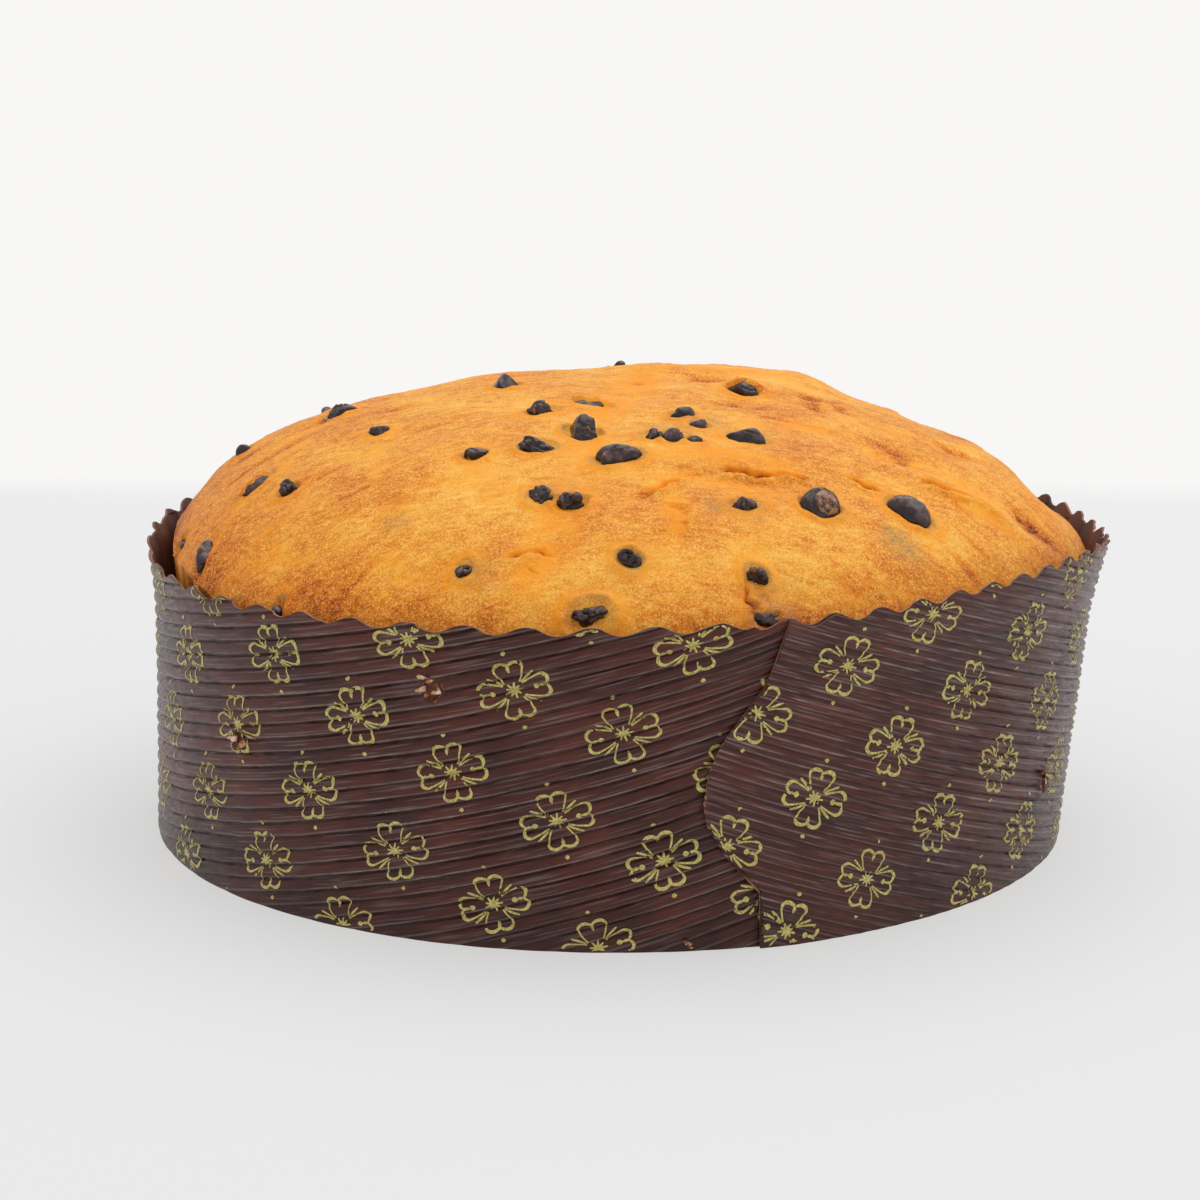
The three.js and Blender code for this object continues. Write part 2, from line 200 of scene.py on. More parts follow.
# Where a flute is cut into rows: close together beside the groove and the crease
FLUTE_ROWS = (0, 0.05, 0.14, 0.27, 0.4, 0.5, 0.6, 0.73, 0.86, 0.95)
COLUMN_STEP, HOLE_STEP, HOLE_REACH = 0.6, 0.2, 2.4          # degrees
LINER_HEIGHTS = (12, 24, 36, 46, 52, 57, 61)
SETTLING_PASSES = 4
DEG = math.pi / 180


def ramp(start, end, value):
    """Smooth step from 0 to 1 between two values."""
    share = np.clip((value - start) / (end - start), 0, 1)
    return share * share * (3 - 2 * share)


def noise(points, size, seed):
    """Smooth noise of about -1 to 1 at points, with lumps size mm across."""
    place = np.asarray(points, float) / size + seed * 7.31
    cell = np.floor(place).astype(np.int64)
    part = place - cell
    ease = part ** 3 * (part * (part * 6 - 15) + 10)
    total = 0
    for corner in itertools.product((0, 1), repeat=3):
        spot = cell + corner
        mixed = (spot[..., 0] * 73856093) ^ (spot[..., 1] * 19349663) ^ (spot[..., 2] * 83492791)
        mixed = ((mixed ^ (mixed >> 13)) * 1274126177) & 0xFFFFFFFF
        around = (mixed & 0xFFFF) / 0x10000 * 2 * math.pi
        up = ((mixed >> 16) & 0xFFFF) / 0x8000 - 1
        flat = np.sqrt(1 - up * up)
        lean = part - corner
        pull = lean[..., 0] * flat * np.cos(around) + lean[..., 1] * flat * np.sin(around) + lean[..., 2] * up
        total = total + pull * np.prod(np.where(corner, ease, 1 - ease), axis=-1)
    return total * 1.6


def wall_radius(z):
    """Radius over the crests of the flutes."""
    flare = np.clip((z - FLARE_STARTS) / (RIM_HEIGHT - FLARE_STARTS), 0, 1)
    return BASE_RADIUS + WALL_SPREAD * z / RIM_HEIGHT + RIM_FLARE * flare ** 2


def wall_point(azimuth, z, proud):
    """The place at an azimuth and height, proud mm outside the flute crests."""
    radius = wall_radius(z) + proud
    x = RIM_SHIFT * z / RIM_HEIGHT + radius * np.sin(azimuth * DEG)
    return np.stack([x, -radius * np.cos(azimuth * DEG), z + 0 * x], -1)


def seam_edge(z):
    """Azimuth of the strip's right end, which lies on top, at a height."""
    return np.interp(z, *zip(*SEAM_EDGE))


def unrolled(azimuth):
    """An azimuth counted on from the seam, so that the left end comes last."""
    return azimuth + (360 if azimuth < SEAM_AZIMUTH else 0)


def rim_height(azimuth):
    """Height of the scalloped rim; azimuths run from the seam at 13 to 373."""
    turned = np.where(azimuth > 180, azimuth - 360, azimuth)
    left = turned < SEAM_AZIMUTH
    tip = np.where(left, LEFT_SCALLOP[0], RIGHT_SCALLOP[0])
    pitch = np.where(left, LEFT_SCALLOP[1], RIGHT_SCALLOP[1])
    return np.interp(turned, *zip(*RIM_LINE)) + SCALLOP_DEPTH * np.cos(2 * np.pi * (turned - tip) / pitch)


def flute_climb(azimuth):
    """How far the flutes have climbed at an azimuth from 13 to 373."""
    rise = np.where(azimuth < BACK_AZIMUTH, RIGHT_RISE, LEFT_RISE)
    return rise * ((azimuth - BACK_AZIMUTH) / 180) ** 2


def outer_relief(azimuth, z):
    """How proud the fluted face stands, how far out on its flute it is (0 groove, 1 crest), the
    tone of its own flute, how torn it is round a skewer hole (its pushed-in middle painted dark as
    shade), and where the line of painted highlight lies on the lower edge of the flute."""
    past = azimuth - seam_edge(z)
    spot = wall_point(azimuth, z, 0)
    wander = 0.35 * noise(spot, 24, 3) + 0.12 * noise(spot, 5, 4)
    level = (z - flute_climb(azimuth) + wander) / FLUTE_PITCH
    single = np.abs(np.sin(np.pi * level)) ** FLUTE_SHARPNESS
    double = np.abs(np.sin(2 * np.pi * level)) ** FLUTE_SHARPNESS * (0.8 + 0.2 * single)
    doubled = (1 - ramp(DOUBLED_TO, 180, past)) * (0.8 + 0.35 * noise(spot, 14, 5))
    shape = single + (np.minimum(single, double) - single) * np.clip(doubled, 0, 1)
    full = ramp(CRUSHED_TO, FLUTES_FULL, past)
    depth = CRUSHED_DEPTH + (FLUTE_DEPTH - CRUSHED_DEPTH) * full
    depth = np.minimum(depth * (1 + 0.25 * noise(spot, 13, 6)), WALL_THICKNESS - 0.2)
    depth = depth * (0.2 + 0.8 * ramp(0.3, 4.5, z))     # flattened where the case stands on its foot
    lift = LAP_LIFT * (1 - ramp(0, LAP_SETTLES, past))
    sway = FLUTE_SWAY * noise(spot, 46, 7) + 0.1 * noise(spot, 9, 8)
    crumple = 0.2 * noise(spot * (1, 1, 2.2), 3.4, 9) * (1 - full)
    proud = lift - depth * (1 - shape) + sway - FLUTE_SWAY + crumple
    # Each flute, and each half of a creased one, takes its own shade
    cell = np.floor(level * np.where(past < DOUBLED_TO, 2, 1))
    along = azimuth * DEG * BASE_RADIUS / TONE_LENGTH
    tone = noise(np.stack([cell * 0.77, along, 0 * azimuth], -1), 1, 11)
    torn = 0 * azimuth
    for hole_azimuth, hole_z in SKEWER_HOLES:
        away = np.hypot((azimuth - unrolled(hole_azimuth)) * DEG * BASE_RADIUS, z - hole_z)
        ragged = SKEWER_RADIUS * (1 + 0.4 * noise(spot, 1.6, 10))
        near = ramp(ragged + 0.4, ragged - 0.3, away)
        puffed = HOLE_PUFF * np.exp(-((away - SKEWER_RADIUS - 0.7) / 1.1) ** 2)
        proud = proud + puffed - near * (proud + HOLE_DEPTH)
        shape = shape * (1 - near)
        fringe = np.exp(-((away - ragged - 0.1) / 0.32) ** 2) * (0.55 + noise(spot, 1.1, 14))
        # Inside the hole the torn value stays low, so the pushed-in paper takes dark colours: painted shade
        # of the hole
        torn = np.maximum(torn, np.maximum(fringe, near * (0.3 + 0.3 * noise(spot, 1.3, 16))))
    # A pale line of painted highlight along the lower edge of each crest, varying along the flutes
    turns = level * (1 + (past < 0.6 * DOUBLED_TO))
    flute_edge_highlight = np.exp(-((turns - np.floor(turns) - EDGE_HIGHLIGHT_AT) / EDGE_HIGHLIGHT_WIDTH) ** 2)
    flute_edge_highlight = flute_edge_highlight * (0.75 + 0.6 * noise(spot * (1, 1, 3), 17, 17))
    return proud, shape, tone, np.clip(torn, 0, 1), flute_edge_highlight


def strip_azimuth(past, z):
    """Azimuth of the place past degrees from the strip's right end, which follows the seam edge."""
    weight = np.maximum(1 - past / SEAM_BEND, 1 - (360 - past) / SEAM_BEND)
    return SEAM_AZIMUTH + past + (seam_edge(z) - SEAM_AZIMUTH) * np.clip(weight, 0, 1)


def strip_columns():
    """Places along the strip, closer together where a skewer went through."""
    places = list(np.arange(0, 360 + OVERLAP + 0.01, COLUMN_STEP))
    for azimuth, _ in SKEWER_HOLES:
        middle = unrolled(azimuth) - SEAM_AZIMUTH
        places = [p for p in places if abs(p - middle) > HOLE_REACH]
        places += list(np.arange(middle - HOLE_REACH, middle + HOLE_REACH + 0.01, HOLE_STEP))
    return np.array(sorted(places))


def body_from(name, points, triangles, materials, faces_of=None):
    """A smooth-shaded object of triangles, in metres; faces_of gives each triangle's material."""
    triangles = np.asarray(triangles, np.int32)
    mesh = bpy.data.meshes.new(name)
    mesh.vertices.add(len(points))
    mesh.vertices.foreach_set("co", (np.asarray(points) * MM).astype(np.float32).ravel())
    mesh.loops.add(3 * len(triangles))
    mesh.loops.foreach_set("vertex_index", triangles.ravel())
    mesh.polygons.add(len(triangles))
    mesh.polygons.foreach_set("loop_start", np.arange(len(triangles), dtype=np.int32) * 3)
    for material in materials:
        mesh.materials.append(material)
    if faces_of is not None:
        mesh.polygons.foreach_set("material_index", np.asarray(faces_of, np.int32))
    mesh.polygons.foreach_set("use_smooth", np.ones(len(triangles), bool))
    mesh.update(calc_edges=True)
    mesh.validate()
    made = bpy.data.objects.new(name, mesh)
    bpy.context.collection.objects.link(made)
    return made


def store(body, name, values):
    """Keeps one value for each point of a body, for its material to read."""
    body.data.attributes.new(name, "FLOAT", "POINT").data.foreach_set("value", values.astype(np.float32))


def grid_triangles(index):
    """Triangles over a grid of point numbers, facing the side where rows go up and columns right."""
    a, b, c, d = index[:-1, :-1], index[:-1, 1:], index[1:, 1:], index[1:, :-1]
    return np.concatenate([np.stack([a, b, c], -1).reshape(-1, 3), np.stack([a, c, d], -1).reshape(-1, 3)])


def zipped(low_points, low, high_points, high):
    """Triangles between two chains of point numbers that both climb in height."""
    triangles = []
    i = j = 0
    while i < len(low) - 1 or j < len(high) - 1:
        step_low = j == len(high) - 1 or (
            i < len(low) - 1 and low_points[i + 1][2] <= high_points[j + 1][2]
        )
        if step_low:
            triangles.append((low[i], high[j], low[i + 1]))
            i += 1
        else:
            triangles.append((low[i], high[j], high[j + 1]))
            j += 1
    return triangles


def greaseproof_paper():
    """Dyed greaseproof paper, calendered: dark brown with a gloss of wax that turns grey at a glancing look,
    redder where the dye lies thick and pale where it is torn. Painted shade makes it nearly black in the
    grooves and darker toward the foot; painted highlights run as pale grey lines on the lower edges of
    the crests and as glints along the flutes."""
    material, tree = new_material("greaseproof_paper")
    strip = add(tree, "Attribute", attribute_name="strip")["Vector"]
    crest = add(tree, "Attribute", attribute_name="crest")["Fac"]
    tone = add(tree, "Attribute", attribute_name="tone")["Fac"]
    torn = add(tree, "Attribute", attribute_name="torn")["Fac"]
    place = add(tree, "TexCoord")["Object"]
    cloud = add(tree, "TexNoise", {"Vector": place, "Scale": 1000 / 15, "Detail": 3})[0]
    # Fibres lie along the strip: about 6 mm long, drawn 0.35 mm wide so that they show
    along = add(tree, "Mapping", {0: strip, "Scale": (1 / 6, 1 / 0.35, 1)})[0]
    fibre = add(tree, "TexNoise", {
        "Vector": along, "Scale": 1, "Detail": 3, "Roughness": 0.6,
    })[0]
    # Wrinkles of the pressed sheet, 3 mm long and 1.2 mm apart
    across = add(tree, "Mapping", {0: strip, "Scale": (1 / 3, 1 / 1.2, 1)})[0]
    wrinkle = add(tree, "TexNoise", {
        "Vector": across, "Scale": 1, "Detail": 4, "Roughness": 0.6,
    })[0]
    thick = add(tree, "Math", {0: tone, 1: 0.17, 2: cloud}, operation="MULTIPLY_ADD")[0]
    dye = add(tree, "ValToRGB", {0: thick}, stops=[
        (0.2, "#2f1009"), (0.8, "#5d2618"), (0.5, "#481a10"),
    ])[0]
    shade = add(tree, "MapRange", {
        "Value": fibre, "From Min": 0.3, "From Max": 0.7, "To Min": 0.55, "To Max": 1.45,
    })[0]
    streaked = add(tree, "VectorMath", {0: dye, "Scale": shade}, operation="SCALE")[0]
    # Painted highlight: a pale grey line on the lower edge of each crest, broken up by the wrinkles
    flute_edge_highlight = add(tree, "Attribute", attribute_name="flute_edge_highlight")["Fac"]
    highlight_break = add(tree, "MapRange", {
        "Value": wrinkle, "From Min": 0.3, "From Max": 0.6, "To Min": 0.4, "To Max": 1.0,
    })[0]
    # Painted glints of the wax along the flutes, 14 mm by 0.6 mm
    lengthwise = add(tree, "Mapping", {0: strip, "Scale": (1 / 14, 1 / 0.6, 1)})[0]
    glint_streaks = add(tree, "TexNoise", {"Vector": lengthwise, "Scale": 1, "Detail": 2})[0]
    glint = add(tree, "MapRange", {
        "Value": glint_streaks, "From Min": 0.54, "From Max": 0.7, "To Max": 0.3,
    })[0]
    edge = add(tree, "Math", {0: flute_edge_highlight, 1: highlight_break}, operation="MULTIPLY")[0]
    painted_highlights = add(tree, "Math", {0: edge, 1: glint}, operation="MAXIMUM")[0]
    paler = add(tree, "Mix", {0: painted_highlights, 6: streaked, 7: srgb("#9a8a86")}, data_type="RGBA")[2]
    # Painted shade: nearly black down in the grooves
    groove_shade = add(tree, "MapRange", {
        "Value": crest, "From Max": 0.74, "To Min": 0.98, "To Max": 0.0,
    })[0]
    dark = add(tree, "Mix", {0: groove_shade, 6: paler, 7: srgb("#140807")}, data_type="RGBA")[2]
    # Painted shade darkens the lowest 16 mm, toward the foot
    height = add(tree, "SeparateXYZ", {0: place})[2]
    foot_shade = add(tree, "MapRange", {"Value": height, "From Max": 16 * MM, "To Min": 0.62})[0]
    dark = add(tree, "VectorMath", {0: dark, "Scale": foot_shade}, operation="SCALE")[0]
    # Painted shade: the pushed-in middle of a hole takes the dark stops; the torn fibres round it the pale
    # ones
    open_fibre = add(tree, "ValToRGB", {0: torn}, stops=[
        (0.15, "#3c1a06"), (0.9, "#dcb294"), (0.45, "#7a4220"),
    ])[0]
    bare = add(tree, "MapRange", {"Value": torn, "From Max": 0.2})[0]
    colour = add(tree, "Mix", {0: bare, 6: dark, 7: open_fibre}, data_type="RGBA")[2]
    gloss = add(tree, "MapRange", {
        "Value": wrinkle, "From Min": 0.3, "From Max": 0.7, "To Min": 0.26, "To Max": 0.46,
    })[0]
    heights = add(tree, "Math", {0: fibre, 1: wrinkle}, operation="ADD")[0]
    bump = add(tree, "Bump", {"Strength": 0.6, "Distance": 0.12 * MM, "Height": heights})[0]
    paper = add(tree, "BsdfPrincipled", {
        "Base Color": colour, "Roughness": gloss, "IOR": 1.5, "Specular IOR Level": 0.33, "Normal": bump,
    })[0]
    add(tree, "OutputMaterial", {0: paper})
    return material


def liner_paper(name, light, dark):
    """The unprinted inner face: matt paper, warm brown and a little greasy where bread lay on it."""
    material, tree = new_material(name)
    place = add(tree, "TexCoord")["Object"]
    cloud = add(tree, "TexNoise", {"Vector": place, "Scale": 1000 / 9, "Detail": 4})[0]
    grain = add(tree, "TexNoise", {"Vector": place, "Scale": 1000 / 0.6, "Detail": 2})[0]
    colour = add(tree, "ValToRGB", {0: cloud}, stops=[(0.35, dark), (0.65, light)])[0]
    bump = add(tree, "Bump", {"Strength": 0.4, "Distance": 0.06 * MM, "Height": grain})[0]
    paper = add(tree, "BsdfPrincipled", {
        "Base Color": colour, "Roughness": 0.68, "IOR": 1.5, "Normal": bump,
    })[0]
    add(tree, "OutputMaterial", {0: paper})
    return material


def paper_wall():
    """The lapped strip as one closed body: fluted face, cut rim and foot, liner, and two ends."""
    columns = strip_columns()
    lowest = -RIGHT_RISE - FLUTE_PITCH
    flutes = math.ceil((TALLEST - lowest) / FLUTE_PITCH)
    levels = np.array([lowest + (k + part) * FLUTE_PITCH for k in range(flutes) for part in FLUTE_ROWS])
    # The seam's edge shifts a column as it climbs, so height and azimuth settle in a few passes
    past = np.broadcast_to(columns, (len(levels), len(columns)))
    z = levels[:, None] + flute_climb(SEAM_AZIMUTH + past)
    for _ in range(SETTLING_PASSES):
        azimuth = strip_azimuth(past, np.clip(z, 0, TALLEST))
        z = levels[:, None] + flute_climb(np.clip(azimuth, SEAM_AZIMUTH - 4, SEAM_AZIMUTH + 360 + OVERLAP))
    top = rim_height(strip_azimuth(columns, np.full(len(columns), RIM_HEIGHT)))
    for _ in range(SETTLING_PASSES):
        top = rim_height(strip_azimuth(columns, top))
    z = np.clip(z, 0, top)
    azimuth = strip_azimuth(past, z)
    proud, crest, tone, torn, flute_edge_highlight = outer_relief(azimuth, z)
    outer = wall_point(azimuth, z, proud)
    index = np.arange(z.size).reshape(z.shape)
    # Rows below the foot or above the rim fold onto the one row that lies on its edge
    inside = (z > 0) & (z < top)
    first = inside.argmax(0) - 1
    last = len(levels) - inside[::-1].argmax(0)
    rows = np.arange(len(levels))[:, None]
    index = np.take_along_axis(index, np.clip(rows, first, last), 0)
    # Liner: straight up to the flare, then along it to the same rim
    heights = np.stack([0 * top] + [np.full(len(top), h) for h in LINER_HEIGHTS] + [top])
    heights = np.minimum(heights, top - np.linspace(6, 0, len(heights))[:, None])
    heights[0] = 0
    past_in = np.broadcast_to(columns, heights.shape)
    azimuth_in = strip_azimuth(past_in, heights)
    lift = LAP_LIFT * (1 - ramp(0, LAP_SETTLES, past_in))
    laid = lift - CRUSHED_DEPTH - SHEET_THICKNESS
    proud_in = laid + (-WALL_THICKNESS - laid) * ramp(OVERLAP + 0.5, OVERLAP + 5, past_in)
    # At the cut rim the sheets lie pressed together
    rim_proud = outer_relief(azimuth_in[-1], top)[0]
    proud_in[-1] = np.maximum(proud_in[-1], rim_proud - SHEET_THICKNESS)
    inner = wall_point(azimuth_in, heights, proud_in)
    inner_index = z.size + np.arange(heights.size).reshape(heights.shape)
    liner = grid_triangles(inner_index)[:, ::-1]
    rim = grid_triangles(np.stack([index[-1], inner_index[-1]]))
    foot = grid_triangles(np.stack([inner_index[0], index[0]]))
    points = np.concatenate([outer.reshape(-1, 3), inner.reshape(-1, 3)])
    ends = []
    for column, flip in ((0, False), (-1, True)):
        low = list(dict.fromkeys(index[:, column].tolist()))
        high = inner_index[:, column].tolist()
        end = zipped(points[low], low, points[high], high)
        ends += [t[::-1] for t in end] if flip else end
    faces = [grid_triangles(index), liner, rim, foot, np.array(ends)]
    kinds = np.concatenate([np.full(len(f), k) for f, k in zip(faces, (0, 1, 2, 1, 2))])
    faces = np.concatenate(faces)
    whole = (faces[:, 0] != faces[:, 1]) & (faces[:, 1] != faces[:, 2]) & (faces[:, 0] != faces[:, 2])
    faces, kinds = faces[whole], kinds[whole]
    used, compact = np.unique(faces, return_inverse=True)
    # Strip coordinates in mm, along the flutes and across them, for the paper's own grain
    grain = np.concatenate([
        np.stack([around * DEG * BASE_RADIUS, height - flute_climb(around), 0 * around], -1).reshape(-1, 3)
        for around, height in ((azimuth, z), (azimuth_in, heights))
    ])
    made = body_from("paper_wall_fluted", points[used], compact.reshape(-1, 3), [
        greaseproof_paper(),
        liner_paper("liner_paper", "#602a0a", "#361605"),
        liner_paper("cut_edge", "#a87858", "#5c3828"),
    ], kinds)
    strip = made.data.attributes.new("strip", "FLOAT_VECTOR", "POINT")
    strip.data.foreach_set("vector", grain[used].astype(np.float32).ravel())
    for name, values in (("crest", crest), ("tone", tone), ("torn", torn), ("flute_edge_highlight", flute_edge_highlight)):
        store(made, name, np.concatenate([values.ravel(), np.zeros(heights.size)])[used])
    return made


wall = paper_wall()
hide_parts("paper_wall")
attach(wall, "root")


# Paper floor
# A disc of the same brown paper, unprinted, glued inside the foot of the wall. Its own solid shows.
floor_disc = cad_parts["paper_floor"]
floor_disc.data.materials.clear()
floor_disc.data.materials.append(liner_paper("floor_paper", "#6e4630", "#54331f"))


# Torn paper
# Skewers held the loaf upside down to cool. Where each went through the wall, and at one nick in
# the foot, the brown paper tore into small curled slivers that show its pale undyed fibres.
FOOT_NICK = (9.3, 1.2)
SLIVERS_PER_HOLE = 3
SLIVER_LENGTH, SLIVER_WIDTH, SLIVER_THICKNESS = (1.3, 2.6), (1.0, 1.9), 0.14
SLIVER_CURL = (0.4, 1.5)            # how far the tip stands off the wall
SLIVER_TAPER = 0.75                 # how much narrower the tip is
SLIVER_STEPS = 8
SLIVER_SEED = 700


def torn_fibres():
    """Paper torn open: soft, matt and fuzzy, from the dye's tan to nearly white."""
    material, tree = new_material("torn_fibres")
    place = add(tree, "TexCoord")["Object"]
    # Fibre tufts, 1.3 mm across
    tuft = add(tree, "TexNoise", {"Vector": place, "Scale": 1000 / 1.3, "Detail": 3})[0]
    colour = add(tree, "ValToRGB", {0: tuft}, stops=[
        (0.36, "#5c3018"), (0.66, "#f4dcc8"), (0.5, "#bd8664"),
    ])[0]
    bump = add(tree, "Bump", {"Strength": 0.6, "Distance": 0.08 * MM, "Height": tuft})[0]
    fibres = add(tree, "BsdfPrincipled", {
        "Base Color": colour, "Roughness": 0.9, "Specular IOR Level": 0.2, "Normal": bump,
    })[0]
    add(tree, "OutputMaterial", {0: fibres})
    return material


def outward(points, triangles):
    """The triangles of a closed body, turned over if they face in."""
    a, b, c = (points[triangles[:, k]] for k in range(3))
    return triangles if np.einsum("ij,ij->", a, np.cross(b, c)) > 0 else triangles[:, ::-1]


def sliver(azimuth, z, heading, length, width, curl):
    """A tapering strip of paper that starts on the wall and curls off it."""
    along = np.linspace(0, 1, SLIVER_STEPS)[:, None]
    side = np.array([-1, 0, 1])[None] * width / 2 * (1 - SLIVER_TAPER * along ** 2)
    forth = length * along
    across = forth * math.sin(heading) + side * math.cos(heading)
    up = forth * math.cos(heading) - side * math.sin(heading)
    turned = azimuth + across / (BASE_RADIUS * DEG)
    height = z + up
    base, *_ = outer_relief(turned + (360 if azimuth < SEAM_AZIMUTH else 0), height)
    proud = np.maximum(base, -0.5) + 0.05 + curl * along ** 1.6 + 0.18 * np.abs(side) / width
    faces = [wall_point(turned, height, proud + lift).reshape(-1, 3) for lift in (SLIVER_THICKNESS, 0)]
    index = np.arange(along.size * 3).reshape(along.size, 3)
    edge = np.concatenate([index[0], index[1:, -1], index[-1, -2::-1], index[-2:0:-1, 0]])
    following = np.roll(edge, -1)
    low = along.size * 3
    triangles = np.concatenate([
        grid_triangles(index)[:, ::-1],
        grid_triangles(index) + low,
        np.stack([edge, edge + low, following], -1),
        np.stack([following, edge + low, following + low], -1),
    ])
    points = np.concatenate(faces)
    middle = points.mean(0)
    return points, outward(points - middle, triangles)


def joined(bodies):
    """Points and triangles of several bodies as one mesh."""
    counts = np.cumsum([0] + [len(points) for points, _ in bodies])
    return (
        np.concatenate([points for points, _ in bodies]),
        np.concatenate([triangles + start for (_, triangles), start in zip(bodies, counts)]),
    )


slivers = []
for number, spot in enumerate((*SKEWER_HOLES, FOOT_NICK)):
    draw = np.random.default_rng(SLIVER_SEED + number)
    for k in range(1 if spot == FOOT_NICK else SLIVERS_PER_HOLE):
        clock = (k + draw.uniform(-0.3, 0.3)) * 2 * math.pi / SLIVERS_PER_HOLE
        start = 0 if spot == FOOT_NICK else 0.75 * SKEWER_RADIUS
        slivers.append(sliver(
            spot[0] + start * math.sin(clock) / (BASE_RADIUS * DEG),
            spot[1] + start * math.cos(clock),
            clock + draw.uniform(-0.9, 0.9) + (math.pi if k % 3 == 1 else 0),
            draw.uniform(*SLIVER_LENGTH),
            draw.uniform(*SLIVER_WIDTH),
            draw.uniform(*SLIVER_CURL),
        ))
torn_paper = body_from("torn_paper", *joined(slivers), [torn_fibres()])
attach(torn_paper, "root")


# Gold print
# Four-heart flowers and dots in bronze ink, printed on the flat sheet before it was fluted, so
# they are narrower across the flutes than along them, and break where they cross a groove.
STRETCHED_SHARE, FLUTED_SHARE = 1.07, 0.86      # of the flat sheet, along and across the flutes
PRINT_SKEW = 0.05           # how far its rows lean from square to the flutes
FLOWER_STROKES = 0.19       # half width of a thin stroke
LOBE_AT, LOBE_RADIUS, LOBE_STROKE = (1.5, 5.55), 1.4, 0.42
LOBE_ENDS = (208, 186)      # degrees that a lobe curls round, across the flutes and along them
LOBE_LEAN = 0.2             # how far it leans in at its far side, so that two halves meet at the notch
THICKEST_AT, THICK_SPREAD = 0.66, 0.2           # of the way along half a petal
PETAL_FOOT, PETAL_SIDE = (1.5, 1.9), (2.4, 3.7)
KNOB_AT, KNOB_RADIUS, KNOB_STEM = 4.4, 0.62, 0.24
STAR_RAYS, STAR_REACH, STAR_STROKE, STAR_TURN, STAR_BLOB = 9, (2.0, 1.6), 0.4, 0.2, 0.85
WHISKER_REACH, WHISKER_BEND = (2.5, 6.1), 0.07  # one thin stroke between each two petals
DOT_AWAY, DOT_RADIUS = 9.5, 0.55
INK_PROUD = 0.07
INK_SHARE = (0.82, 1.12)    # how broad one flower's strokes came out
STROKE_STEP = 0.34
FLOWER_SPACING = 17         # least distance between the middles of two
ARC_PER_DEGREE = BASE_RADIUS * DEG * 1.03       # mm, half way up the wall
PRINT_ROWS, PRINT_PLACES = range(-9, 10), range(-12, 13)
# For each end of the strip: azimuth and level of one flower, degrees between flowers along a
# flute, mm between rows, degrees that each row up is set back, and the climb that the rows follow
LEFT_PRINT = (0.04, 0.69, 18.97, 15.19, 2.75, 54.1)
RIGHT_PRINT = (32.59, -5.45, 18.18, 14.79, -1.05, 57.7)


def heart_half(side, curl):
    """Half a petal that points along +v: out from its foot and round its lobe to the notch."""
    s = np.linspace(0, 1, 14)
    lobe_u, lobe_v = LOBE_AT
    widest = lobe_u + LOBE_RADIUS
    u = (1 - s) ** 2 * PETAL_FOOT[0] + 2 * s * (1 - s) * PETAL_SIDE[0] + s * s * widest
    v = (1 - s) ** 2 * PETAL_FOOT[1] + 2 * s * (1 - s) * PETAL_SIDE[1] + s * s * lobe_v
    angle = np.linspace(0.12, math.radians(curl), 16)
    meeting = 1 + LOBE_LEAN * ramp(1.6, 3, angle)
    u = np.concatenate([u, lobe_u + LOBE_RADIUS * np.cos(angle) * meeting])
    v = np.concatenate([v, lobe_v + LOBE_RADIUS * np.sin(angle)])
    run = np.linspace(0, 1, len(u))
    swell = np.exp(-((run - THICKEST_AT) / THICK_SPREAD) ** 2)
    return u * side, v, FLOWER_STROKES + (LOBE_STROKE - FLOWER_STROKES) * swell


def dot(v, radius):
    """A round dot, as a stroke that is as broad as it is long."""
    s = np.linspace(-1, 1, 9)
    return 0 * s, v + s * radius, radius * np.sqrt(1.01 - s * s)


def turned_stroke(stroke, angle):
    """The stroke turned about the flower's middle."""
    u, v, width = stroke
    return u * math.cos(angle) + v * math.sin(angle), -u * math.sin(angle) + v * math.cos(angle), width


def flower_strokes():
    """All strokes of one flower, in mm along and across the flutes from its middle."""
    strokes = []
    s = np.linspace(0, 1, 6)
    notch = LOBE_AT[1]
    for quarter in range(4):
        petal = [heart_half(side, LOBE_ENDS[quarter % 2]) for side in (-1, 1)]
        if quarter % 2:
            petal.append((0 * s, notch + 0.1 - (notch - KNOB_AT) * s, KNOB_STEM + 0 * s))
            petal.append(dot(KNOB_AT, KNOB_RADIUS))
        else:
            petal.append((0.1 * s, notch - 0.3 - 0.7 * s, 0.26 - 0.12 * s))
        reach = WHISKER_REACH[0] + (WHISKER_REACH[1] - WHISKER_REACH[0]) * s
        angle = math.pi / 4 + WHISKER_BEND * s * (-1) ** quarter
        petal.append((reach * np.sin(angle), reach * np.cos(angle), 0.08 + 0.2 * np.sin(2.6 * s)))
        strokes += [turned_stroke(part, quarter * math.pi / 2) for part in petal]
    for ray in range(STAR_RAYS):
        beam = (0 * s, s * STAR_REACH[ray % 2], STAR_STROKE * (1 - 0.6 * s))
        strokes.append(turned_stroke(beam, ray * 2 * math.pi / STAR_RAYS + STAR_TURN))
    strokes += [dot(0, STAR_BLOB), dot(DOT_AWAY, DOT_RADIUS), dot(-DOT_AWAY, DOT_RADIUS)]
    return [(u * STRETCHED_SHARE, v * FLUTED_SHARE, width) for u, v, width in strokes]


def resampled(stroke, step):
    """The stroke with points a step apart."""
    u, v, width = stroke
    run = np.concatenate([[0], np.cumsum(np.hypot(np.diff(u), np.diff(v)))])
    places = np.linspace(0, run[-1], max(4, math.ceil(run[-1] / step) + 1))
    return [np.interp(places, run, part) for part in (u, v, width)]


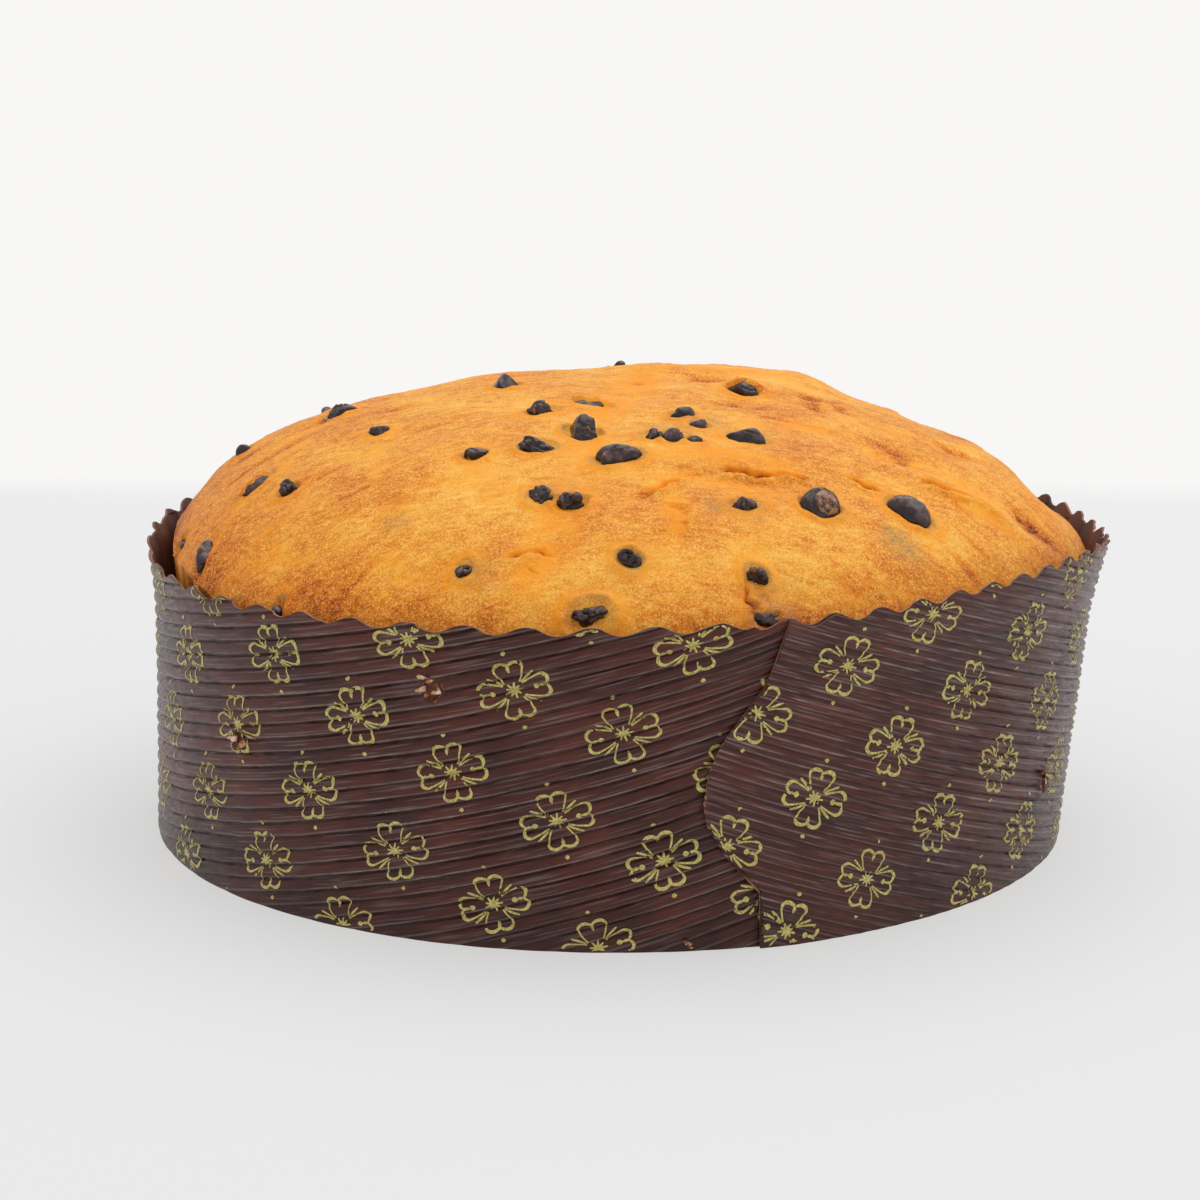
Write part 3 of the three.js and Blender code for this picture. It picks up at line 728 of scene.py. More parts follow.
def printed_flowers(print_of, left, placed):
    """Every flower on one end of the strip, as ribbons of ink laid on the flutes. At the back the
    two ends' rows meet, and a flower too near one already placed is left out."""
    first, level, pitch, row_step, set_back, climb = print_of
    strokes = [resampled(s, STROKE_STEP) for s in flower_strokes()]
    limits = (BACK_AZIMUTH - 363, 20) if left else (8, BACK_AZIMUTH + 3)
    back = BACK_AZIMUTH - 360 if left else BACK_AZIMUTH
    ribbons = []
    for row, place in itertools.product(PRINT_ROWS, PRINT_PLACES):
        azimuth = first + (place + (row % 2) / 2) * pitch - row * set_back
        z = level + row * row_step + climb * ((azimuth - back) / 180) ** 2
        if not (limits[0] < azimuth < limits[1] and -8 < z < 82):
            continue
        around = azimuth + (360 if left else 0)
        if any(math.hypot((around - a) * ARC_PER_DEGREE, z - h) < FLOWER_SPACING for a, h in placed):
            continue
        placed.append((around, z))
        slope = math.atan(2 * climb * (azimuth - back) / 180 ** 2 / ARC_PER_DEGREE)
        inked = np.random.default_rng([row + 50, place + 50, int(left)]).uniform(*INK_SHARE)
        for u, v, width in strokes:
            step_u, step_v = np.gradient(u), np.gradient(v)
            length = np.maximum(np.hypot(step_u, step_v), 1e-6)
            sides = np.array([-1, 0, 1])[:, None] * width * inked
            a, b = u - step_v / length * sides, v + step_u / length * sides
            across = a * math.cos(slope) - b * math.sin(slope + PRINT_SKEW)
            up = a * math.sin(slope) + b * math.cos(slope + PRINT_SKEW)
            ribbons.append(np.stack([azimuth + across / ARC_PER_DEGREE, z + up]))
    turned, height = np.concatenate(ribbons, axis=2)
    around = turned + (360 if left else 0)
    proud, crest, *_ = outer_relief(around, np.clip(height, 0, TALLEST))
    edge = seam_edge(height)
    shown = (height > 0.4) & (height < rim_height(around) - 0.25)
    shown &= (turned < edge + 1) if left else (turned > edge + 0.25)
    laid = wall_point(around, height, proud + INK_PROUD)
    # The plate missed the deepest grooves and here and there a fleck
    flecks = noise(laid, 1.2, 12) + 0.5 * noise(laid, 6, 13)
    shown &= (flecks < 0.75) & (crest > 0.12 + 0.25 * noise(laid, 2.5, 15))
    # Ribbons lie end to end in one grid, and cells that would join two of them are dropped
    own = np.repeat(np.arange(len(ribbons)), [ribbon.shape[2] for ribbon in ribbons])
    index = np.arange(turned.size).reshape(turned.shape)
    triangles = grid_triangles(index[::-1])
    owner = np.broadcast_to(own, turned.shape).ravel()[triangles]
    kept = shown.ravel()[triangles].all(1) & (owner.min(1) == owner.max(1))
    return laid.reshape(-1, 3), triangles[kept]


def bronze_ink():
    """Bronze-powder ink: olive gold, half metal, bright only where it catches the light."""
    material, tree = new_material("bronze_ink")
    place = add(tree, "TexCoord")["Object"]
    # Powder grains, drawn 0.5 mm wide so that they show
    grain = add(tree, "TexNoise", {"Vector": place, "Scale": 1000 / 0.5, "Detail": 2})[0]
    colour = add(tree, "ValToRGB", {0: grain}, stops=[(0.3, "#978a49"), (0.7, "#d8ca7c")])[0]
    gloss = add(tree, "MapRange", {"Value": grain, "To Min": 0.28, "To Max": 0.5})[0]
    ink = add(tree, "BsdfPrincipled", {
        "Base Color": colour, "Roughness": gloss, "Metallic": 0.4,
    })[0]
    add(tree, "OutputMaterial", {0: ink})
    return material


flowers_placed = []
ink_points, ink_triangles = joined([
    printed_flowers(LEFT_PRINT, True, flowers_placed),
    printed_flowers(RIGHT_PRINT, False, flowers_placed),
])
ink_used, ink_index = np.unique(ink_triangles, return_inverse=True)
gold_print = body_from("gold_print_flowers", ink_points[ink_used], ink_index.reshape(-1, 3), [bronze_ink()])
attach(gold_print, "root")


# Bread
# A sweet leavened dough with butter and eggs, baked in its case: a domed, thin brown crust that
# tore open along the crown, where the pale yellow dough pushed up between the browned skins.
DOME_SHIFT = 3.1
DOME_RADIUS = 107
DOME_FOOT = 52.4
DOME_RISE = 47.8
DOME_ROUND, DOME_SHOULDER, DOME_EDGE = 2, 0.44, 0.988       # powers of its profile, and where it ends
SHRUNK_AT, SHRUNK_SPREAD, SHRUNK_DEPTH = -86, 24, 3.4       # the edge that shrank away from the paper
SIDE_GAP = 0.5
FOOT_HEIGHT = 1.3
SIDE_RINGS = (              # height, how far in from the paper, and share of the shrinking
    (58, 0.2, 1), (55, 0.6, 1), (47, 0, 0), (FOOT_HEIGHT + 3, 0, 0), (FOOT_HEIGHT, 3, 0),
)
SIDE_BROWNING = 0.35
PLAIN_BROWNING = 0.34       # of the crust, before its swellings, hollows and cracks
STAIN_SHARE, RING_STAIN = 0.62, 0.28        # of melted chocolate, and of the ring round each drop
BLISTER_SINK = 0.3
# Swellings and hollows of the crust: x, y, half length, half width, turn in degrees, height
SWELLINGS = (
    (-78, 12, 14, 18, 0, 1.7), (-24, 30, 12, 20, 0, 0.7), (9, 34, 9, 16, 0, 1.2),
    (28, 36, 12, 16, 0, 2.3), (45, 34, 9, 16, 0, 2.7), (60, 26, 9, 18, 0, -1),
    (73, 24, 7, 16, 0, -2.4), (97, 10, 7, 14, 0, -6.4),
    (4, -4, 18, 7, 85, -1.3), (-3, -40, 20, 6, 82, -1.2), (-9, -72, 18, 6, 75, -1.3),
    (27, -50, 22, 7, -3, 1.3), (26, -61, 22, 3, -3, -1.3), (53, -55, 9, 3, -18, -1),
    (45, -74, 26, 10, 8, 0.9),
    (76, -42, 18, 4, -4, 1.2), (70, -32, 16, 5, -6, -1.4), (60, -34, 5, 4, 0, -1.6),
    (77, -16, 6, 5, 0, -1.2), (91, -37, 4, 4, 0, -1.5), (47, -3, 7, 5, 0, -1.4),
    (21, 16, 7, 5, 0, -1.3), (30, -6, 7, 6, 0, -1.2), (35, 9, 9, 6, 0, 1.2), (14, 26, 8, 6, 0, 0.8),
    (26, -93, 8, 3, 60, -1), (-16, -90, 10, 4, 0, -0.8), (-46, -50, 30, 14, 20, 0.9),
    (-62, -8, 18, 14, 30, 0.8),
    (-105, -20, 8, 24, 0, -7),
    (-30, 66, 22, 12, 12, -1.3), (24, 78, 26, 9, -8, 1.2), (-66, 48, 14, 18, 30, 1.1),
    (64, 64, 20, 8, -44, -1.4), (4, 92, 34, 5, 3, -1.1),
)
# Cracks where the skin tore, with the raised lip on the left of their line: half width, depth,
# height of the lip, and the line
CRACKS = (
    (0.75, 1.6, 0.9, ((19, -59), (13, -65), (10, -68), (7, -70))),
    (0.65, 1.4, 0.9, ((43, -57), (37, -57), (34, -58), (29, -58), (25, -58), (22, -58))),
    (0.55, 1.0, 0.5, ((59, -54), (55, -53), (52, -52), (49, -52))),
    (0.9, 0.35, 0.6, ((9, -74), (12, -75), (15, -76), (15, -79), (15, -81), (14, -85))),
    (0.4, 0.8, 0.3, ((-11, -88), (-14, -86), (-17, -86), (-20, -87), (-23, -87))),
    (0.4, 0.7, 0.3, ((-13, -92), (-16, -90), (-18, -89))),
    (0.5, 0.7, 0.3, ((-50, -86), (-53, -87))),
    (0.6, 1.0, 0.4, ((28, -90), (28, -95), (29, -96), (31, -97), (31, -98))),
    (0.7, 0.7, 0.9, ((87, -44), (84, -43), (81, -42), (76, -43), (71, -44), (66, -44))),
    (0.7, 1.0, 0.7, ((-40, 58), (-24, 66), (-8, 66), (6, 72))),
    (0.7, 0.9, 0.6, ((38, 66), (52, 62), (62, 52), (68, 40))),
    (0.6, 0.8, 0.5, ((-14, 90), (4, 93), (22, 90))),
)
# Stretched skin, smooth and yellow: x, y, half length, half width, turn, strength
STRETCHED = (
    (6, 8, 16, 6, 80, 0.9), (0, -18, 14, 6, 75, 0.8), (-4, -46, 14, 5, 80, 0.7),
    (-10, -72, 14, 6, 75, 0.7), (-14, -88, 8, 5, 60, 0.7), (24, -53, 16, 3.5, -3, 0.7),
    (22, -63, 17, 2.5, -8, 0.7), (13, -77, 3.5, 9, 0, 0.5), (43, -26, 7, 4, 10, 0.8),
    (62, -14, 14, 5, -20, 0.5), (70, -33, 14, 4, -6, 0.6), (80, -46, 12, 2.5, -4, 0.5),
    (-72, -55, 12, 3, 25, 0.35), (28, 26, 18, 5, -6, 0.6), (-40, 34, 16, 4, 10, 0.5),
    (-30, 66, 20, 7, 12, 0.8), (60, 60, 16, 6, -44, 0.8), (4, 91, 26, 4, 3, 0.7),
)
# Pits, hollows and patches that browned more, the pits and hollows darker also as painted shade: x, y, half
# length, half width, turn, strength, depth
BROWNED_AND_SHADED = (
    (61, -27, 4, 3, 0, 0.35, 0.8), (64, -30, 1.6, 3, -30, 0.8, 0.5), (78, -11, 5, 1.8, 0, 0.5, 0.8),
    (92, -34, 3.4, 3, 0, 0.85, 1), (97, -34, 3, 4, 0, 0.6, 0.3), (22, 17, 3.4, 2.2, 0, 0.8, 0.9),
    (47, 5, 4.5, 1.5, 0, 0.9, 0.9), (46, -4, 1.6, 7, 8, 0.8, 0.8), (52, 0, 1.3, 4, 20, 0.6, 0.5),
    (29, -14, 8, 2.6, -4, 0.75, 1), (7, -70, 2.2, 1.6, 30, 0.45, 0.9), (6, 8, 3, 2, 0, 0.5, 0.4),
    (30, -95, 3.4, 2.6, 70, 0.35, 0.9), (-62, 3, 9, 1.4, 24, 0.6, 0.5), (-74, -12, 8, 1.2, 26, 0.5, 0.5),
    (-50, -4, 4, 2.2, 20, 0.6, 0.5), (-82, -2, 4, 2, 30, 0.5, 0.4), (-40, -26, 7, 1.2, 18, 0.35, 0.3),
    (-60, -40, 9, 1.4, 24, 0.3, 0.3), (-84, -50, 10, 5, 60, 0.1, 0), (97, -18, 4, 12, 0, 0.35, 0),
    (-18, -66, 8, 3, 10, 0.2, 0), (40, -97, 18, 3.5, 15, 0.35, 0), (75, -74, 12, 4, 45, 0.35, 0),
    (-60, -82, 16, 4, -35, 0.25, 0), (-98, 10, 4, 20, 0, 0.3, 0), (28, 44, 12, 6, 6, 0.45, 0),
    (-50, 40, 12, 6, 40, 0.35, 0), (79, 14, 4, 9, 0, 0.45, 0.4), (-26, 20, 9, 1.6, 12, 0.4, 0.4),
    (-8, 56, 14, 8, 10, 0.4, 0), (10, 78, 14, 5, 0, 0.4, 0), (-70, 52, 10, 6, 50, 0.4, 0),
)
# Where melted chocolate greyed the skin: x, y, radius, strength
STAINED = (
    (61, -72, 4.5, 0.75), (58.5, -69.5, 1.6, 0.9), (-45, -70, 3, 0.5), (22, -74, 2.6, 0.6), (65, 40, 3, 0.6),
    (75, 3, 4, 0.45), (-3, -100, 5, 0.3), (-11, -66, 5, 0.35), (-17, -45, 5, 0.3), (-27, -90, 4, 0.45),
    (29, -74, 4.5, 0.4), (14, -40, 6, 0.45), (20, -31, 6, 0.5), (31, -37, 6, 0.35), (33, -96, 6, 0.5),
    (4, -91, 5, 0.35), (46, -70, 5, 0.3), (-35, 62, 6, 0.4), (40, 80, 5, 0.4),
)
BREAD_COLUMNS, DOME_RINGS, FRONT_FINER = 1000, 240, 0.45


def in_oval(x, y, cx, cy, half_length, half_width, turned):
    """How far x, y lie along and across a turned oval, 1 at its edge."""
    c, s = math.cos(turned * DEG), math.sin(turned * DEG)
    return ((x - cx) * c + (y - cy) * s) / half_length, (-(x - cx) * s + (y - cy) * c) / half_width


def patch(x, y, spot):
    """A soft oval patch: 1 at its middle, fading to 0."""
    along, across = in_oval(x, y, *spot[:5])
    return np.exp(-along * along - across * across)


def crust_height(x, y):
    """Height of the crust's main form over x, y, as its solid has it."""
    share = np.minimum(np.hypot((x - DOME_SHIFT) / DOME_RADIUS, y / DOME_RADIUS), DOME_EDGE)
    z = DOME_FOOT + DOME_RISE * (1 - share ** DOME_ROUND) ** DOME_SHOULDER
    for swelling in SWELLINGS:
        z = z + swelling[5] * patch(x, y, swelling)
    return z


def crust_slope(x, y, step):
    """Slope of the crust's main form along x and along y, between points a step to each side."""
    return (
        (crust_height(x + step, y) - crust_height(x - step, y)) / (2 * step),
        (crust_height(x, y + step) - crust_height(x, y - step)) / (2 * step),
    )


def beside(x, y, line):
    """Signed distance from a bent line, positive on its left, and how far in from its ends."""
    best, inward = np.full(np.shape(x), 1e3), np.zeros(np.shape(x))
    lengths = [math.dist(a, b) for a, b in zip(line[:-1], line[1:])]
    done = 0
    for (x0, y0), (x1, y1), length in zip(line[:-1], line[1:], lengths):
        share = np.clip(((x - x0) * (x1 - x0) + (y - y0) * (y1 - y0)) / length ** 2, 0, 1)
        away = np.hypot(x - x0 - share * (x1 - x0), y - y0 - share * (y1 - y0))
        side = np.sign((x1 - x0) * (y - y0) - (y1 - y0) * (x - x0))
        nearer = away < np.abs(best)
        run = done + share * length
        best = np.where(nearer, away * side, best)
        inward = np.where(nearer, np.minimum(run, sum(lengths) - run), inward)
        done += length
    return best, inward


# Chocolate drops that the front shows: x, y, length, width, turn, stand above the crust, kind.
# Kinds: s soft and creased, f broken to a few flat faces, r crumbled, c drawn out to a tail,
# h half under the skin, w whole with its flat ring, o whole and smooth
FRONT_DROPS = (
    (-24, 4, 7.2, 6, 0, 3.5, "f"), (-61, 5, 8.5, 5, 12, 3.5, "c"), (-51, -23, 4.8, 4.5, 0, 2.5, "s"),
    (-15, -24, 8.4, 5, 5, 2.6, "r"), (-6, -39, 8.8, 9, 30, 4.6, "f"), (-4.5, -17, 10.5, 4.4, -14, 1.8, "h"),
    (-15.6, -48, 8.8, 6.5, -6, 3.1, "r"), (1.4, -54, 11.4, 6.6, 4, 2.9, "s"),
    (-29, -49, 5.6, 4.8, 20, 2.2, "c"), (-14.8, -69.5, 6.4, 6.8, 40, 2.3, "r"),
    (-8.4, -71.5, 8.2, 7, -10, 3.2, "r"), (-78, -29, 9.5, 4.6, 40, 1.7, "h"),
    (-70, -41, 5, 5, 0, 2.6, "r"), (-84, 6, 4, 4, 0, 1.9, "s"), (-88, -45, 4.4, 13, -28, 2, "c"),
    (-95, -26, 3.6, 5, 0, 1.3, "h"), (-69.6, -75.2, 3.6, 4, 0, 1.6, "s"), (-30, -88, 4.4, 3.6, 30, 1.5, "r"),
    (15.6, -28, 7, 4.4, 38, 2.6, "s"), (9.4, -44, 7.2, 5, -30, 2.1, "r"), (13.6, -45.5, 6.2, 6, 35, 2.6, "s"),
    (19.3, -35, 5.4, 4.2, -20, 2.1, "s"), (18, -46.5, 5, 3.6, 0, 1.4, "h"),
    (29.6, -40.5, 9.8, 6.2, -12, 2.9, "s"),
    (30.2, 2, 8.6, 6.4, -10, 3, "h"), (44, -68, 9, 8.4, 0, 4.6, "w"), (63.4, -59.1, 10.8, 7.6, -30, 4, "o"),
    (28, -72, 7.4, 4.4, 20, 2.2, "r"), (4, -90, 6, 4.8, -25, 2.3, "r"), (30, -90.5, 5.8, 4.8, -35, 2.2, "r"),
    (32.5, -97.2, 7.5, 4.5, 0, 1.3, "h"), (-4, -100.6, 9.5, 6, 0, 3, "r"), (93, 10, 4.5, 4.5, 0, 1.9, "s"),
)
# Drops elsewhere, drawn by chance between these bounds exactly as their solids are
BACK_COUNT, BACK_SEED, DROP_SPACING = 14, 41, 11
BACK_AZIMUTHS, BACK_REACH, BEHIND = (100, 260), (0.42, 0.95), 44
BACK_LENGTH, BACK_SLIMNESS, BACK_STAND = (4, 9), (0.65, 1), (1, 2.4)


def drawer(seed):
    """A repeatable stream of numbers from 0 to 1."""
    state = seed
    while True:
        state = (state * 1664525 + 1013904223) % 4294967296
        yield state / 4294967296


def back_drops():
    """Drops on the side that faces away, kept clear of each other."""
    numbers = drawer(BACK_SEED)
    drops = []
    while len(drops) < BACK_COUNT:
        azimuth, radius = [low + (high - low) * next(numbers) for low, high in (BACK_AZIMUTHS, BACK_REACH)]
        radius *= DOME_RADIUS
        x, y = DOME_SHIFT + radius * math.sin(azimuth * DEG), -radius * math.cos(azimuth * DEG)
        length = BACK_LENGTH[0] + (BACK_LENGTH[1] - BACK_LENGTH[0]) * next(numbers)
        width = length * (BACK_SLIMNESS[0] + (BACK_SLIMNESS[1] - BACK_SLIMNESS[0]) * next(numbers))
        turned = 180 * next(numbers)
        stand = BACK_STAND[0] + (BACK_STAND[1] - BACK_STAND[0]) * next(numbers)
        clear = all(math.hypot(d[0] - x, d[1] - y) > DROP_SPACING for d in (*FRONT_DROPS, *drops))
        if clear and y > BEHIND:
            drops.append((x, y, length, width, turned, stand, "srchfs"[len(drops) % 6]))
    return drops


DROPS = (*FRONT_DROPS, *back_drops())


def baked_crust():
    """Egg-rich crust, brushed with nothing: tan where it blistered and browned, finely speckled
    cream and rust, and smooth saturated yellow where the skin stretched as the loaf rose. How browned
    it looks also carries painted shade in its cracks and hollows, and paler painted lips beside the cracks."""
    material, tree = new_material("baked_crust")
    place = add(tree, "TexCoord")["Object"]
    brown = add(tree, "Attribute", attribute_name="browning_and_painted_light")["Fac"]
    stretched = add(tree, "Attribute", attribute_name="stretched")["Fac"]
    stain = add(tree, "Attribute", attribute_name="stain")["Fac"]
    skin = add(tree, "MapRange", {"Value": stretched, "To Min": 1.0, "To Max": 0.25})[0]
    # Blisters of the skin 0.45 mm across in clusters of 2.6 mm, and finer grain of 0.4 mm
    blister = add(tree, "TexNoise", {
        "Vector": place, "Scale": 1000 / 0.45, "Detail": 2, "Roughness": 0.6, "Distortion": 0.5,
    })[0]
    cluster = add(tree, "TexNoise", {"Vector": place, "Scale": 1000 / 2.6, "Detail": 3})[0]
    grain = add(tree, "TexNoise", {"Vector": place, "Scale": 1000 / 0.4, "Detail": 2})[0]
    swing = add(tree, "Math", {0: blister, 1: -1.0, 2: 0.5}, operation="MULTIPLY_ADD")[0]
    uneven = add(tree, "Math", {0: cluster, 1: 0.45, 2: -0.525}, operation="MULTIPLY_ADD")[0]
    # Fine streaks of the drawn skin, 3.6 mm by 1.2 mm
    drawn = add(tree, "Mapping", {0: place, "Scale": (0.33, 1, 1)})[0]
    streak = add(tree, "TexNoise", {"Vector": drawn, "Scale": 1000 / 1.2, "Detail": 2})[0]
    uneven = add(tree, "Math", {0: streak, 1: 0.6, 2: uneven}, operation="MULTIPLY_ADD")[0]
    both = add(tree, "Math", {0: swing, 1: uneven}, operation="ADD")[0]
    both = add(tree, "Math", {0: both, 1: skin}, operation="MULTIPLY")[0]
    depth = add(tree, "Math", {0: brown, 1: both}, operation="ADD", use_clamp=True)[0]
    baked = add(tree, "ValToRGB", {0: depth}, stops=[
        (0.0, "#ffc658"), (1.0, "#702b04"), (0.2, "#f9b23e"), (0.36, "#f09e2e"), (0.5, "#e48a22"),
        (0.66, "#d37210"), (0.82, "#b55608"),
    ])[0]
    fleck = add(tree, "MapRange", {
        "Value": blister, "From Min": 0.52, "From Max": 0.66, "To Max": 0.48,
    })[0]
    pale = add(tree, "Math", {0: fleck, 1: skin}, operation="MULTIPLY")[0]
    creamy = add(tree, "Mix", {0: pale, 6: baked, 7: srgb("#fcd088")}, data_type="RGBA")[2]
    light = add(tree, "MapRange", {
        "Value": brown, "From Min": 0.4, "From Max": 0.75, "To Min": 0.95, "To Max": 0.0,
    })[0]
    yellow = add(tree, "Math", {0: stretched, 1: light}, operation="MULTIPLY")[0]
    tender = add(tree, "Mix", {0: yellow, 6: creamy, 7: srgb("#ff9a04")}, data_type="RGBA")[2]
    melt = add(tree, "ValToRGB", {0: cluster}, stops=[(0.42, "#7c6658"), (0.58, "#bc9648")])[0]
    speck = add(tree, "MapRange", {
        "Value": blister, "From Min": 0.6, "From Max": 0.42, "To Min": 0.7, "To Max": 1.25,
    })[0]
    stain = add(tree, "Math", {0: stain, 1: speck}, operation="MULTIPLY", use_clamp=True)[0]
    colour = add(tree, "Mix", {0: stain, 6: tender, 7: melt}, data_type="RGBA")[2]
    heights = add(tree, "Math", {0: grain, 1: 0.5, 2: blister}, operation="MULTIPLY_ADD")[0]
    heights = add(tree, "Math", {0: heights, 1: skin}, operation="MULTIPLY")[0]
    bump = add(tree, "Bump", {"Strength": 0.5, "Distance": 0.15 * MM, "Height": heights})[0]
    crust = add(tree, "BsdfPrincipled", {
        "Base Color": colour, "Roughness": 0.56, "IOR": 1.45, "Specular IOR Level": 0.2, "Normal": bump,
        "Subsurface Weight": 0.1, "Subsurface Scale": 1.0 * MM,
    })[0]
    add(tree, "OutputMaterial", {0: crust})
    return material


def crust_relief(x, y, z):
    """Fine relief of the crust above its main form, and the skin's colour: how far it browned, with painted
    shade in its cracks and hollows and a painted highlight on the cracks' lips, its stretch and its stain.
    """
    spot = np.stack([x, y, z], -1)
    relief = 0.42 * noise(spot, 15, 21) + 0.24 * noise(spot, 6.5, 22)
    # Between the browned swellings the skin stayed tender and yellow
    stretched = np.clip(-1.1 * relief - 0.08, 0, 0.6)
    for area in STRETCHED:
        stretched = np.maximum(stretched, area[5] * patch(x, y, area))
    stretched = np.clip(stretched * (1 + 0.9 * noise(spot, 4, 23)) - 0.05, 0, 1)
    # The skin drew into long low wrinkles that bow away from the front as it rose
    drawn = np.stack([0.3 * x, y + 0.0036 * (10 - x) ** 2, 0.3 * z], -1)
    streak = noise(drawn, 2, 30) + 0.6 * noise(drawn, 1.1, 31)
    rough = 0.09 * noise(spot, 2.6, 24) + 0.07 * noise(spot, 1.4, 25) + 0.07 * streak
    relief = relief + rough * (1.15 - stretched)
    uneven = 0.15 * noise(spot, 26, 26) + 0.12 * noise(spot, 8, 27)
    browning_and_painted_light = PLAIN_BROWNING + uneven * (1 - 0.5 * ramp(-55, -90, x)) - 0.12 * stretched
    browning_and_painted_light = browning_and_painted_light + 0.1 * np.clip(-streak, 0, None) - 0.05 * np.clip(streak, 0, None)
    browning_and_painted_light = browning_and_painted_light + 0.15 * ramp(-30, -95, x) + 0.16 * relief
    edge = np.hypot(x - DOME_SHIFT, y) / DOME_RADIUS
    browning_and_painted_light = browning_and_painted_light + 0.13 * ramp(0.88, 0.985, edge)
    # Small hollows where blisters sank and browned to a clear orange
    sunk = ramp(0.42, 0.8, -noise(drawn, 3.6, 36)) * (0.6 + 0.6 * noise(spot, 18, 37))
    relief = relief - BLISTER_SINK * sunk
    browning_and_painted_light = browning_and_painted_light + 0.3 * sunk
    smooth = 0.9 * sunk
    # Patches brown further; in the pits and hollows that darker colour is also painted shade
    for area in BROWNED_AND_SHADED:
        ragged = patch(x, y, area) * (1 + 0.6 * noise(spot, 2.2, 32))
        browning_and_painted_light = browning_and_painted_light + 0.6 * area[5] * ragged
        relief = relief - area[6] * ragged
        smooth = np.maximum(smooth, area[5] * ragged)
    wiggle = 0.9 * noise(spot, 3.4, 28) + 0.35 * noise(spot, 1.3, 33)
    dashes = noise(spot, 2.4, 34)
    for width, depth, lip, line in CRACKS:
        side, inward = beside(x, y, line)
        side = side + wiggle
        fade = ramp(-0.2, 3.5, inward)
        open_width = width * (0.55 + 0.45 * fade) * (1 + 0.5 * dashes)
        torn = np.exp(-(side / open_width) ** 2) * fade
        raised = np.exp(-((side - 2.1 * width) / (1.3 * width)) ** 2) * fade
        relief = relief - depth * (0.9 + 0.6 * dashes) * torn + lip * raised
        # Along the crack the crust browns darker, partly painted shade in the crack; the raised lip is
        # painted paler as a highlight
        browning_and_painted_light = browning_and_painted_light + torn * (0.32 + 0.5 * dashes) * min(depth, 1) - 0.1 * raised
        beneath = np.exp(-((side + 1.2 * width) / (2.2 * width)) ** 2) * fade
        stretched = np.maximum(stretched, 0.75 * beneath)
    stain = 0 * x
    for cx, cy, radius, strength in STAINED:
        away = ((x - cx) ** 2 + (y - cy) ** 2) / radius ** 2
        stain = np.maximum(stain, STAIN_SHARE * strength * np.exp(-away ** 1.3))
    for cx, cy, length, width, turned, stand, kind in DROPS:
        along, across = in_oval(x, y, cx, cy, length / 2, width / 2, turned)
        reach = np.hypot(along, across)
        away = (reach - 1) * width / 2
        lip = (0.5 + 0.5 * noise(spot, 3, 38)) * (0.3 + 0.22 * stand)
        relief = relief + lip * np.exp(-((away - 0.5) / 0.8) ** 2) - 0.5 * np.exp(-(reach / 0.9) ** 4)
        if kind == "h":
            # The skin still lies over the far half of the drop
            over = ramp(-0.25, 0.35, across + 0.5 * noise(spot, 2, 35))
            relief = relief + (stand + 0.3) * over * np.exp(-(reach / 0.95) ** 4)
        stain = np.maximum(stain, RING_STAIN * np.exp(-((away - 0.1) / 0.5) ** 2))
        stretched = np.maximum(stretched, 0.5 * np.exp(-((away - 1.2) / 1.1) ** 2))
    stain = np.clip(stain * (1 + 0.8 * noise(spot, 2.4, 29)), 0, 1)
    return relief, np.clip(browning_and_painted_light, 0, 1.1), np.maximum(stretched, 0.6 * np.clip(smooth, 0, 1)), stain


